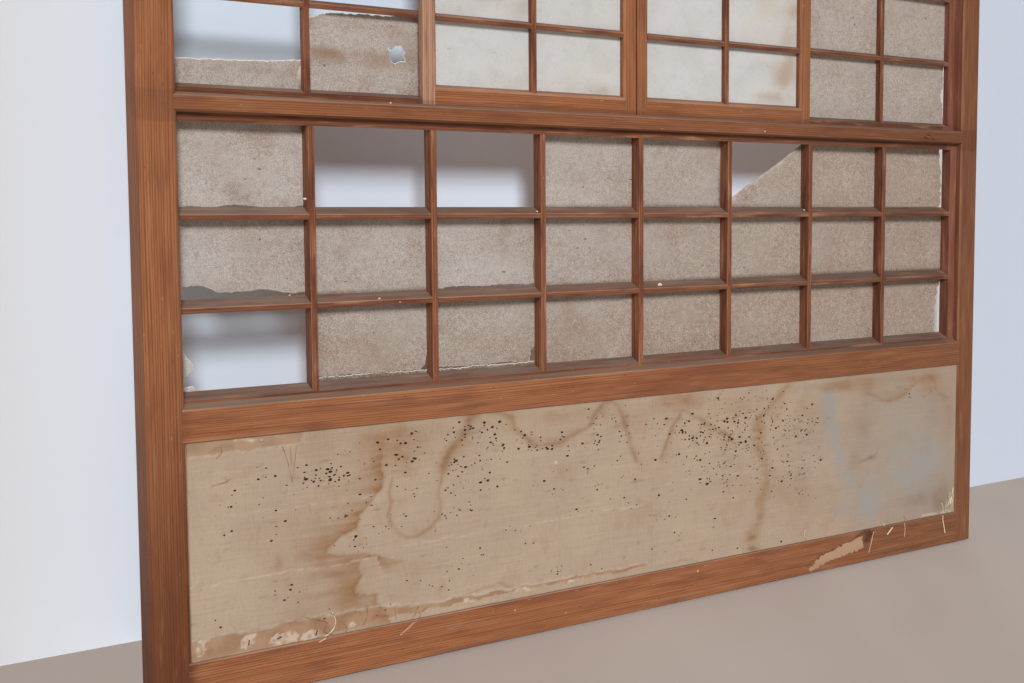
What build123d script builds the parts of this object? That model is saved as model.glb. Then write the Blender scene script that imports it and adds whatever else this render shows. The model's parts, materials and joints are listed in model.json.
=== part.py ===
"""Paper sliding screen with a timber frame, a low wainscot and a pair of small inner sliding screens.

The screen stands on its lower edge: X runs across it, Z up, and the lattice side faces -Y.
Its origin is the middle of its lower edge, at half its thickness. All sizes are in millimetres.
"""
from build123d import *
import os

# Frame members, as seen from the lattice side
frame_thickness = 27.0
left_stile_width = 27.8
right_stile_width = 23.8
bottom_rail_height = 35.7
belt_rail_height = 26.8
lower_guide_height = 14.5
upper_guide_height = 26.0
top_rail_height = 42.5
stile_chamfer = 2.0
guide_chamfer = 3.0
arris = 0.6

# The running edges: the frame's front is cut back, which leaves a tongue for the sill and head grooves
sill_tongue_height = 3.0
head_tongue_height = 15.0
tongue_setback = 7.0

# Openings between the rails
wainscot_height = 179.3
pane_width = 97.9
pane_height = 69.7
tall_pane_height = 73.5
columns = 8
lower_rows = 3
window_rows = 6
top_rows = 10

# Lattice bars and the strips that they are framed in
upright_width = 5.0
crossbar_height = 4.7
bar_edge = 0.5
strip_size = 9.2
left_reveal = 1.8
right_reveal = 9.2
sill_reveal = 2.0
window_reveal = 3.0
lattice_setback = 8.0
window_setback = 13.6
paper_setback = 20.7
bar_tenon_length = 4.0
bar_tenon_width = 2.6
bar_tenon_shoulder = 1.8
joint_clearance = 0.1

# Frame joints
tenon_length = 16.0
tenon_thickness = 9.0
tenon_shoulder = 3.0
guide_tenon_shoulder = 0.6
tenon_setback = 9.0

# Wainscot
board_setback = 1.6
board_thickness = 5.0
board_tongue_thickness = 2.5
board_tongue_length = 5.0
facing_thickness = 0.5
facing_margin = 0.3
facing_seam = 446.5

# Guide rails for the small screens
lip_thickness = 5.0
lower_groove_depth = 4.0
upper_groove_depth = 12.0
upper_lip_drop = 6.7
guide_rear_drop = 2.0

# Posts between the fixed side lattices and the middle opening
side_columns = 2
post_width = 10.0
post_tenon_length = 5.0
post_tenon_shoulder = 2.0

# Small screens
small_thickness = 7.2
small_front_gap = 0.6
small_floor_gap = 0.3
small_stile_width = 12.5
small_rail_height = 18.4
small_stile_chamfer = 2.0
small_rail_chamfer = 1.7
small_bar_setback = 1.0
small_paper_rebate = 0.5
small_paper_lap = 4.0
small_tenon_length = 7.0
small_tenon_thickness = 2.4
small_tenon_shoulder = 4.0
small_screen_width = 207.7
small_left_start = 222.9
small_meeting_gap = 1.5
small_head_entry = 5.8
small_bar_tenon = 2.5
small_bar_tenon_thickness = 2.6

paper_thickness = 0.3
paper_lap = 5.0
paper_seam = 0.2

# Heights, from the floor up
bottom_rail_top = sill_tongue_height + bottom_rail_height
belt_bottom = bottom_rail_top + wainscot_height
belt_top = belt_bottom + belt_rail_height
row_pitch = pane_height + crossbar_height
lower_sill = belt_top + sill_reveal
lower_head = lower_sill + (lower_rows - 1) * row_pitch + tall_pane_height
guide_bottom = lower_head + strip_size
lip_top = guide_bottom + lower_guide_height
guide_rear_top = lip_top - guide_rear_drop
window_sill = guide_rear_top + window_reveal
window_head = window_sill + window_rows * row_pitch - crossbar_height
upper_guide_seat = window_head + strip_size
upper_lip_bottom = upper_guide_seat - upper_lip_drop
upper_guide_top = upper_lip_bottom + upper_guide_height
top_sill = upper_guide_top + sill_reveal
top_head = top_sill + top_rows * row_pitch - crossbar_height
top_rail_bottom = top_head + strip_size
overall_height = top_rail_bottom + top_rail_height

# Widths, from the left edge to the right
column_pitch = pane_width + upright_width
lattice_width = columns * column_pitch - upright_width
overall_width = left_stile_width + left_reveal + lattice_width + right_reveal + right_stile_width
left_edge = -overall_width / 2
right_edge = overall_width / 2
left_wall = left_edge + left_stile_width
right_wall = right_edge - right_stile_width
lattice_left = left_wall + left_reveal
lattice_right = right_wall - right_reveal

# Depths, from the lattice side to the paper side
front = -frame_thickness / 2
back = frame_thickness / 2
lattice_front = front + lattice_setback
window_front = front + window_setback
paper_front = front + paper_setback
paper_back = paper_front + paper_thickness
small_front = front + lip_thickness + small_front_gap
small_back = small_front + small_thickness

# The small screens' places, with both of them closed
small_bottom = lip_top - lower_groove_depth + small_floor_gap
small_top = upper_lip_bottom + small_head_entry
small_sill = small_bottom + small_rail_height
small_head = small_top - small_rail_height
small_rows = window_rows
small_end_pane = (small_head - small_sill - (small_rows - 2) * row_pitch - crossbar_height) / 2
left_screen_start = left_edge + small_left_start
right_screen_start = left_screen_start + small_screen_width + small_meeting_gap

os.makedirs("parts", exist_ok=True)


def save(piece, node):
    """Names a finished piece and writes its file."""
    piece.part.label = node
    export_step(piece.part, f"parts/{node}.step")


def block(x0, x1, y0, y1, z0, z1, mode=Mode.ADD):
    """Adds or cuts a straight block between two corners, in the piece that is being made."""
    with Locations(((x0 + x1) / 2, (y0 + y1) / 2, (z0 + z1) / 2)):
        Box(x1 - x0, y1 - y0, z1 - z0, mode=mode)


def pane_left(column):
    """The left side of a column of panes; column 0 is at the left stile."""
    return lattice_left + column * column_pitch


def crossbar_levels(sill, rows):
    """The undersides of the crossbars above a sill."""
    return [sill + row * row_pitch - crossbar_height for row in range(1, rows)]


# Frame members

rail_levels = {
    "bottom_rail": (0.0, bottom_rail_top),
    "belt_rail": (belt_bottom, belt_top),
    "lower_guide_rail": (guide_bottom, lip_top),
    "upper_guide_rail": (upper_lip_bottom, upper_guide_top),
    "top_rail": (top_rail_bottom, overall_height),
}
lattice_zones = (
    (lower_sill - strip_size, guide_bottom, lattice_front),
    (window_sill - strip_size, upper_guide_seat, window_front),
    (top_sill - strip_size, top_rail_bottom, lattice_front),
)


def tenon_level(rail):
    """Bottom and top of a rail's tenons, clear of its grooves, rebates and running edges."""
    low, high = rail_levels[rail]
    if rail == "bottom_rail":
        return low + sill_tongue_height + tenon_shoulder, high - board_tongue_length - tenon_shoulder
    if rail == "belt_rail":
        return low + board_tongue_length + tenon_shoulder, lower_sill - strip_size - guide_tenon_shoulder
    if rail == "lower_guide_rail":
        return low + guide_tenon_shoulder, window_sill - strip_size - guide_tenon_shoulder
    if rail == "upper_guide_rail":
        return low + upper_groove_depth + guide_tenon_shoulder, top_sill - strip_size - guide_tenon_shoulder
    return low + tenon_shoulder, high - head_tongue_height - tenon_shoulder


def cut_running_edges(x0, x1):
    """Cuts the front back along the lower and upper edges, which leaves the two tongues."""
    block(x0, x1, front, front + tongue_setback, 0, sill_tongue_height, Mode.SUBTRACT)
    block(x0, x1, front, front + tongue_setback, overall_height - head_tongue_height, overall_height,
          Mode.SUBTRACT)


def make_stile(node, outer, wall, seat):
    """One stile: outer and wall are its two sides, and seat is how deep the lattice strips are let in."""
    inward = 1 if wall > outer else -1
    with BuildPart() as stile:
        with BuildSketch():
            with BuildLine():
                Polyline((outer, front), (wall - inward * stile_chamfer, front),
                         (wall, front + stile_chamfer), (wall, back), (outer, back), close=True)
            make_face()
        extrude(amount=overall_height)
        cut_running_edges(min(outer, wall), max(outer, wall))
        for rail in rail_levels:
            low, high = tenon_level(rail)
            deep = wall - inward * (tenon_length + joint_clearance)
            block(min(wall, deep), max(wall, deep), front + tenon_setback - joint_clearance,
                  front + tenon_setback + tenon_thickness + joint_clearance,
                  low - joint_clearance, high + joint_clearance, Mode.SUBTRACT)
        groove = wall - inward * (board_tongue_length + joint_clearance)
        tongue_back = front + board_setback + board_thickness
        block(min(wall, groove), max(wall, groove), tongue_back - board_tongue_thickness - joint_clearance,
              tongue_back + joint_clearance, bottom_rail_top, belt_bottom, Mode.SUBTRACT)
        if seat > 0:
            rebate = wall - inward * seat
            for low, high, zone_front in lattice_zones:
                block(min(wall, rebate), max(wall, rebate), zone_front, back, low, high, Mode.SUBTRACT)
    save(stile, node)


make_stile("stile_left", left_edge, left_wall, strip_size - left_reveal)
make_stile("stile_right", right_edge, right_wall, strip_size - right_reveal)


def rail_body(rail):
    """A rail's outline in plan, scribed over the stiles' chamfers, with a tenon at each end."""
    low, high = rail_levels[rail]
    with BuildSketch(Plane.XY.offset(low)) as outline:
        with BuildLine():
            Polyline((left_wall - stile_chamfer, front), (right_wall + stile_chamfer, front),
                     (right_wall, front + stile_chamfer), (right_wall, back), (left_wall, back),
                     (left_wall, front + stile_chamfer), close=True)
        make_face()
    extrude(outline.sketch, amount=high - low)
    tenon_low, tenon_high = tenon_level(rail)
    tenon_front = front + tenon_setback
    tenon_back = tenon_front + tenon_thickness
    block(left_wall - tenon_length, left_wall, tenon_front, tenon_back, tenon_low, tenon_high)
    block(right_wall, right_wall + tenon_length, tenon_front, tenon_back, tenon_low, tenon_high)


def board_groove(low, high):
    """The groove for the wainscot board's tongue, along a rail."""
    tongue_back = front + board_setback + board_thickness
    block(left_wall, right_wall, tongue_back - board_tongue_thickness - joint_clearance,
          tongue_back + joint_clearance, low, high, Mode.SUBTRACT)


def post_mortise(post_left, low, high):
    """The pocket in a guide rail for the tenon of a window post."""
    side = post_tenon_shoulder - joint_clearance
    face = bar_tenon_shoulder - joint_clearance
    block(post_left + side, post_left + post_width - side, window_front + face, paper_front - face, low,
          high, Mode.SUBTRACT)


def front_edges(piece, top):
    """The long front edges of a rail, at its top or its bottom."""
    long_edges = piece.edges().filter_by(Axis.X).group_by(Axis.Y)[0]
    return long_edges.group_by(Axis.Z)[-1 if top else 0]


with BuildPart() as bottom_rail:
    rail_body("bottom_rail")
    cut_running_edges(left_edge, right_edge)
    board_groove(bottom_rail_top - board_tongue_length - joint_clearance, bottom_rail_top)
    chamfer(front_edges(bottom_rail, top=True), arris)
save(bottom_rail, "bottom_rail")

with BuildPart() as belt_rail:
    rail_body("belt_rail")
    board_groove(belt_bottom, belt_bottom + board_tongue_length + joint_clearance)
    block(left_wall, right_wall, lattice_front, back, lower_sill - strip_size, belt_top, Mode.SUBTRACT)
    chamfer(front_edges(belt_rail, top=True), arris)
    chamfer(front_edges(belt_rail, top=False), arris)
save(belt_rail, "belt_rail")

with BuildPart() as lower_guide_rail:
    rail_body("lower_guide_rail")
    block(left_wall, right_wall, front + lip_thickness, window_front, lip_top - lower_groove_depth, lip_top,
          Mode.SUBTRACT)
    block(left_wall, right_wall, window_front, back, guide_rear_top, lip_top, Mode.SUBTRACT)
    for zone_left, zone_right in ((left_wall, pane_left(side_columns) - upright_width),
                                  (pane_left(columns - side_columns), right_wall)):
        block(zone_left, zone_right, window_front, back, window_sill - strip_size, guide_rear_top,
              Mode.SUBTRACT)
    for post_left in (pane_left(side_columns) - upright_width,
                      pane_left(columns - side_columns) - post_width):
        post_mortise(post_left, guide_rear_top - post_tenon_length - joint_clearance, guide_rear_top)
    chamfer(front_edges(lower_guide_rail, top=True), arris)
    chamfer(front_edges(lower_guide_rail, top=False), guide_chamfer)
save(lower_guide_rail, "lower_guide_rail")

with BuildPart() as upper_guide_rail:
    rail_body("upper_guide_rail")
    block(left_wall, right_wall, front + lip_thickness, window_front, upper_lip_bottom,
          upper_lip_bottom + upper_groove_depth, Mode.SUBTRACT)
    block(left_wall, right_wall, window_front, back, upper_lip_bottom, upper_guide_seat, Mode.SUBTRACT)
    block(left_wall, right_wall, lattice_front, back, top_sill - strip_size, upper_guide_top, Mode.SUBTRACT)
    for post_left in (pane_left(side_columns) - upright_width,
                      pane_left(columns - side_columns) - post_width):
        post_mortise(post_left, upper_guide_seat, upper_guide_seat + post_tenon_length + joint_clearance)
    chamfer(front_edges(upper_guide_rail, top=True), arris)
    chamfer(front_edges(upper_guide_rail, top=False), arris)
save(upper_guide_rail, "upper_guide_rail")

with BuildPart() as top_rail:
    rail_body("top_rail")
    cut_running_edges(left_edge, right_edge)
    chamfer(front_edges(top_rail, top=False), guide_chamfer)
save(top_rail, "top_rail")


# Wainscot: a board held by its tongues, with a facing of two sheets pasted on it

with BuildPart() as wainscot_board:
    board_front = front + board_setback
    board_back = board_front + board_thickness
    block(left_wall, right_wall, board_front, board_back, bottom_rail_top, belt_bottom)
    block(left_wall - board_tongue_length, right_wall + board_tongue_length,
          board_back - board_tongue_thickness, board_back, bottom_rail_top, belt_bottom)
    block(left_wall, right_wall, board_back - board_tongue_thickness, board_back,
          bottom_rail_top - board_tongue_length, belt_bottom + board_tongue_length)
save(wainscot_board, "wainscot_board")

facing_spans = {
    "wainscot_facing_left": (left_wall + facing_margin, left_edge + facing_seam),
    "wainscot_facing_right": (left_edge + facing_seam, right_wall - facing_margin),
}
for facing_node, (facing_left, facing_right) in facing_spans.items():
    with BuildPart() as facing:
        block(facing_left, facing_right, board_front - facing_thickness, board_front,
              bottom_rail_top + facing_margin, belt_bottom - facing_margin)
    save(facing, facing_node)


# Lattice strips and bars


def bar_mortise(centre_x, centre_z, along_x, zone_front, low, high):
    """A pocket for a bar's stub tenon, between two levels along the bar."""
    half = bar_tenon_width / 2 + joint_clearance
    y0 = zone_front + bar_tenon_shoulder - joint_clearance
    y1 = paper_front - bar_tenon_shoulder + joint_clearance
    if along_x:
        block(low, high, y0, y1, centre_z - half, centre_z + half, Mode.SUBTRACT)
    else:
        block(centre_x - half, centre_x + half, y0, y1, low, high, Mode.SUBTRACT)


def make_lying_strip(node, x0, x1, z0, zone_front, bar_centres, bars_above):
    """A strip along a rail, with mortises for the uprights that stand on it or hang from it."""
    deep = bar_tenon_length + joint_clearance
    with BuildPart() as strip:
        block(x0, x1, zone_front, paper_front, z0, z0 + strip_size)
        for centre in bar_centres:
            if bars_above:
                bar_mortise(centre, 0, False, zone_front, z0 + strip_size - deep, z0 + strip_size)
            else:
                bar_mortise(centre, 0, False, zone_front, z0, z0 + deep)
    save(strip, node)


def make_standing_strip(node, x0, z0, z1, zone_front, bar_centres, bars_right):
    """A strip along a stile, with mortises for the crossbars that start or end in it."""
    deep = bar_tenon_length + joint_clearance
    with BuildPart() as strip:
        block(x0, x0 + strip_size, zone_front, paper_front, z0, z1)
        for centre in bar_centres:
            if bars_right:
                bar_mortise(0, centre, True, zone_front, x0 + strip_size - deep, x0 + strip_size)
            else:
                bar_mortise(0, centre, True, zone_front, x0, x0 + deep)
    save(strip, node)


def upright_body(x0, z0, z1, bar_front, bar_back, levels, tenon, tenon_width, shoulder):
    """An upright with a stub tenon at each end, notched at the back where crossbars pass behind it."""
    x1 = x0 + upright_width
    with BuildSketch(Plane.XY.offset(z0)) as outline:
        with BuildLine():
            Polyline((x0 + bar_edge, bar_front), (x1 - bar_edge, bar_front), (x1, bar_front + bar_edge),
                     (x1, bar_back), (x0, bar_back), (x0, bar_front + bar_edge), close=True)
        make_face()
    extrude(outline.sketch, amount=z1 - z0)
    middle = (x0 + x1) / 2
    block(middle - tenon_width / 2, middle + tenon_width / 2, bar_front + shoulder, bar_back - shoulder,
          z0 - tenon, z1 + tenon)
    half_lap = (bar_front + bar_back) / 2
    for level in levels:
        block(x0, x1, half_lap, bar_back, level - joint_clearance / 2,
              level + crossbar_height + joint_clearance / 2, Mode.SUBTRACT)


def crossbar_body(x0, x1, z0, bar_front, bar_back, uprights, tenon, tenon_width, shoulder):
    """A crossbar with a stub tenon at each end, notched at the front where it passes behind uprights."""
    z1 = z0 + crossbar_height
    with BuildSketch(Plane.YZ.offset(x0)) as outline:
        with BuildLine():
            Polyline((bar_front, z0 + bar_edge), (bar_front + bar_edge, z0), (bar_back, z0), (bar_back, z1),
                     (bar_front + bar_edge, z1), (bar_front, z1 - bar_edge), close=True)
        make_face()
    extrude(outline.sketch, amount=x1 - x0)
    middle = (z0 + z1) / 2
    block(x0 - tenon, x1 + tenon, bar_front + shoulder, bar_back - shoulder, middle - tenon_width / 2,
          middle + tenon_width / 2)
    half_lap = (bar_front + bar_back) / 2
    for upright_left in uprights:
        block(upright_left - joint_clearance / 2, upright_left + upright_width + joint_clearance / 2,
              bar_front, half_lap, z0, z1, Mode.SUBTRACT)


bar_tenon = (bar_tenon_length, bar_tenon_width, bar_tenon_shoulder)
all_uprights = [pane_left(column) - upright_width for column in range(1, columns)]
upright_centres = [left + upright_width / 2 for left in all_uprights]
strip_left = lattice_left - strip_size
strip_right = lattice_right + strip_size

lower_levels = crossbar_levels(lower_sill, lower_rows)
lower_centres = [level + crossbar_height / 2 for level in lower_levels]
top_levels = crossbar_levels(top_sill, top_rows)
top_centres = [level + crossbar_height / 2 for level in top_levels]
window_levels = crossbar_levels(window_sill, window_rows)
window_centres = [level + crossbar_height / 2 for level in window_levels]

make_lying_strip("lower_strip_bottom", strip_left, right_wall, lower_sill - strip_size, lattice_front,
                 upright_centres, True)
make_lying_strip("lower_strip_top", strip_left, right_wall, lower_head, lattice_front, upright_centres,
                 False)
make_standing_strip("lower_strip_left", strip_left, lower_sill, lower_head, lattice_front, lower_centres,
                    True)
make_standing_strip("lower_strip_right", lattice_right, lower_sill, lower_head, lattice_front, lower_centres,
                    False)
for number, upright_left in enumerate(all_uprights, 1):
    with BuildPart() as upright:
        upright_body(upright_left, lower_sill, lower_head, lattice_front, paper_front, lower_levels,
                     *bar_tenon)
    save(upright, f"lower_upright_{number}")
for number, level in enumerate(lower_levels, 1):
    with BuildPart() as crossbar:
        crossbar_body(lattice_left, lattice_right, level, lattice_front, paper_front, all_uprights,
                      *bar_tenon)
    save(crossbar, f"lower_crossbar_{number}")

make_lying_strip("top_strip_bottom", strip_left, right_wall, top_sill - strip_size, lattice_front,
                 upright_centres, True)
make_lying_strip("top_strip_top", strip_left, right_wall, top_head, lattice_front, upright_centres, False)
make_standing_strip("top_strip_left", strip_left, top_sill, top_head, lattice_front, top_centres, True)
make_standing_strip("top_strip_right", lattice_right, top_sill, top_head, lattice_front, top_centres, False)
with BuildPart() as top_uprights:
    for upright_left in all_uprights:
        upright_body(upright_left, top_sill, top_head, lattice_front, paper_front, top_levels, *bar_tenon)
save(top_uprights, "top_uprights")
with BuildPart() as top_crossbars:
    for level in top_levels:
        crossbar_body(lattice_left, lattice_right, level, lattice_front, paper_front, all_uprights,
                      *bar_tenon)
save(top_crossbars, "top_crossbars")


# Window: a post each side of the middle opening, and a fixed lattice outside each post

left_post = pane_left(side_columns) - upright_width
right_post = pane_left(columns - side_columns) - post_width


def make_post(node, post_left, paper_on_left):
    """A post with a rebate at the back, on its lattice side, for the edge of the paper."""
    post_right = post_left + post_width
    with BuildPart() as post:
        block(post_left, post_right, window_front, back, guide_rear_top, upper_guide_seat)
        block(post_left + post_tenon_shoulder, post_right - post_tenon_shoulder,
              window_front + bar_tenon_shoulder, paper_front - bar_tenon_shoulder,
              guide_rear_top - post_tenon_length, upper_guide_seat + post_tenon_length)
        if paper_on_left:
            block(post_left, post_left + paper_lap, paper_front, back, guide_rear_top, upper_guide_seat,
                  Mode.SUBTRACT)
        else:
            block(post_right - paper_lap, post_right, paper_front, back, guide_rear_top, upper_guide_seat,
                  Mode.SUBTRACT)
        for centre in window_centres:
            if paper_on_left:
                bar_mortise(0, centre, True, window_front, post_left, post_left + bar_tenon_length
                            + joint_clearance)
            else:
                bar_mortise(0, centre, True, window_front, post_right - bar_tenon_length - joint_clearance,
                            post_right)
    save(post, node)


make_post("window_post_left", left_post, paper_on_left=True)
make_post("window_post_right", right_post, paper_on_left=False)

side_zones = {
    "left_side": (lattice_left, left_post, strip_left, left_post, range(1, side_columns)),
    "right_side": (right_post + post_width, lattice_right, right_post + post_width, right_wall,
                   range(columns - side_columns + 1, columns)),
}
for side, (clear_left, clear_right, zone_left, zone_right, side_bars) in side_zones.items():
    on_left = side == "left_side"
    side_uprights = [pane_left(column) - upright_width for column in side_bars]
    side_centres = [left + upright_width / 2 for left in side_uprights]
    make_lying_strip(f"{side}_strip_bottom", zone_left, zone_right, window_sill - strip_size, window_front,
                     side_centres, True)
    make_lying_strip(f"{side}_strip_top", zone_left, zone_right, window_head, window_front, side_centres,
                     False)
    make_standing_strip(f"{side}_strip_outer", strip_left if on_left else lattice_right, window_sill,
                        window_head, window_front, window_centres, on_left)
    with BuildPart() as side_upright:
        for upright_left in side_uprights:
            upright_body(upright_left, window_sill, window_head, window_front, paper_front, window_levels,
                         *bar_tenon)
    save(side_upright, f"{side}_upright")
    with BuildPart() as side_crossbars:
        for level in window_levels:
            crossbar_body(clear_left, clear_right, level, window_front, paper_front, side_uprights,
                          *bar_tenon)
    save(side_crossbars, f"{side}_crossbars")


# Small screens: each is a light frame with its own lattice and paper, and slides in the guide rails

small_bar_front = small_front + small_bar_setback
small_bar_back = small_back - small_paper_rebate
small_first_level = small_sill + small_end_pane
small_levels = [small_first_level + row * row_pitch for row in range(small_rows - 1)]
small_tenon_front = small_front + (small_thickness - small_tenon_thickness) / 2
small_bar_shoulder = (small_bar_back - small_bar_front - small_bar_tenon_thickness) / 2
small_bar = (small_bar_tenon, bar_tenon_width, small_bar_shoulder)


def small_tenon_level(low):
    """Bottom and top of a small rail's tenons."""
    return low + small_tenon_shoulder, low + small_rail_height - small_tenon_shoulder


def make_small_stile(node, outer, wall):
    """A small screen's stile: outer and wall are its two sides."""
    inward = 1 if wall > outer else -1
    with BuildPart() as stile:
        with BuildSketch(Plane.XY.offset(small_bottom)):
            with BuildLine():
                Polyline((outer, small_front), (wall - inward * small_stile_chamfer, small_front),
                         (wall, small_front + small_stile_chamfer), (wall, small_back), (outer, small_back),
                         close=True)
            make_face()
        extrude(amount=small_top - small_bottom)
        rebate = wall - inward * small_paper_lap
        block(min(wall, rebate), max(wall, rebate), small_bar_back, small_back, small_sill - small_paper_lap,
              small_head + small_paper_lap, Mode.SUBTRACT)
        for low in (small_bottom, small_head):
            tenon_low, tenon_high = small_tenon_level(low)
            deep = wall - inward * (small_tenon_length + joint_clearance)
            block(min(wall, deep), max(wall, deep), small_tenon_front - joint_clearance,
                  small_tenon_front + small_tenon_thickness + joint_clearance, tenon_low - joint_clearance,
                  tenon_high + joint_clearance, Mode.SUBTRACT)
        deep = wall - inward * (small_bar_tenon + joint_clearance)
        for level in small_levels:
            middle = level + crossbar_height / 2
            half = bar_tenon_width / 2 + joint_clearance
            block(min(wall, deep), max(wall, deep), small_bar_front + small_bar_shoulder - joint_clearance,
                  small_bar_back - small_bar_shoulder + joint_clearance, middle - half, middle + half,
                  Mode.SUBTRACT)
    save(stile, node)


def make_small_rail(node, wall_left, wall_right, low, bar_centre, is_sill):
    """A small screen's rail, scribed over its stiles' chamfers, with a tenon at each end."""
    high = low + small_rail_height
    with BuildPart() as rail:
        with BuildSketch(Plane.XY.offset(low)):
            with BuildLine():
                Polyline((wall_left - small_stile_chamfer, small_front),
                         (wall_right + small_stile_chamfer, small_front),
                         (wall_right, small_front + small_stile_chamfer), (wall_right, small_back),
                         (wall_left, small_back), (wall_left, small_front + small_stile_chamfer), close=True)
            make_face()
        extrude(amount=small_rail_height)
        tenon_low, tenon_high = small_tenon_level(low)
        block(wall_left - small_tenon_length, wall_right + small_tenon_length, small_tenon_front,
              small_tenon_front + small_tenon_thickness, tenon_low, tenon_high)
        rebate_low, rebate_high = (high - small_paper_lap, high) if is_sill else (low, low + small_paper_lap)
        block(wall_left, wall_right, small_bar_back, small_back, rebate_low, rebate_high, Mode.SUBTRACT)
        half = bar_tenon_width / 2 + joint_clearance
        deep = small_bar_tenon + joint_clearance
        pocket_low, pocket_high = (high - deep, high) if is_sill else (low, low + deep)
        block(bar_centre - half, bar_centre + half, small_bar_front + small_bar_shoulder - joint_clearance,
              small_bar_back - small_bar_shoulder + joint_clearance, pocket_low, pocket_high, Mode.SUBTRACT)
        chamfer(front_edges(rail, top=is_sill), small_rail_chamfer)
    save(rail, node)


def make_small_screen(side, start, outer_on_left):
    """All the pieces of one small screen, whose left edge is at start."""
    end = start + small_screen_width
    wall_left = start + small_stile_width
    wall_right = end - small_stile_width
    bar_left = (wall_left + wall_right - upright_width) / 2
    bar_centre = bar_left + upright_width / 2
    make_small_stile(f"{side}_screen_{'outer' if outer_on_left else 'inner'}_stile", start, wall_left)
    make_small_stile(f"{side}_screen_{'inner' if outer_on_left else 'outer'}_stile", end, wall_right)
    make_small_rail(f"{side}_screen_bottom_rail", wall_left, wall_right, small_bottom, bar_centre, True)
    make_small_rail(f"{side}_screen_top_rail", wall_left, wall_right, small_head, bar_centre, False)
    with BuildPart() as small_upright:
        upright_body(bar_left, small_sill, small_head, small_bar_front, small_bar_back, small_levels,
                     *small_bar)
    save(small_upright, f"{side}_screen_upright")
    with BuildPart() as small_crossbars:
        for level in small_levels:
            crossbar_body(wall_left, wall_right, level, small_bar_front, small_bar_back, [bar_left],
                          *small_bar)
    save(small_crossbars, f"{side}_screen_crossbars")
    with BuildPart() as small_paper:
        lap = small_paper_lap - joint_clearance
        block(wall_left - lap, wall_right + lap, small_bar_back, small_bar_back + paper_thickness,
              small_sill - lap, small_head + lap)
    save(small_paper, f"{side}_screen_paper")


make_small_screen("left", left_screen_start, outer_on_left=True)
make_small_screen("right", right_screen_start, outer_on_left=False)


# Paper, pasted on the backs of the strips and bars in lengths one row high. Where it is torn away, the
# tear follows the real one. Offsets in a tear are from the pane's lower left corner.

paper_left = lattice_left - paper_lap
paper_right = lattice_right + paper_lap


def paste(corners):
    """Adds one piece of paper with these corners, given as X and Z."""
    with BuildSketch(Plane.XZ.offset(-paper_back)) as outline:
        with BuildLine():
            Polyline(*corners, close=True)
        make_face()
    extrude(outline.sketch, amount=paper_thickness)


def seam(column, side=0):
    """The middle of the upright to the left of a column, or the edge of a paper that ends beside it."""
    return pane_left(column) - upright_width / 2 + side * paper_seam / 2


def row_span(sill, row, rows, head):
    """Bottom and top of a row's length of paper, from the middle of one bar to that of the next."""
    middle = sill - (crossbar_height - paper_seam) / 2
    low = middle + row * row_pitch if row else sill - paper_lap
    high = middle + (row + 1) * row_pitch - paper_seam if row < rows - 1 else head + paper_lap
    return low, high


def torn(sill, row, column, points):
    """A torn edge: points given from the lower left corner of the pane in a row above a sill."""
    return [(pane_left(column) + x, sill + row * row_pitch + z) for x, z in points]


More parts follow.
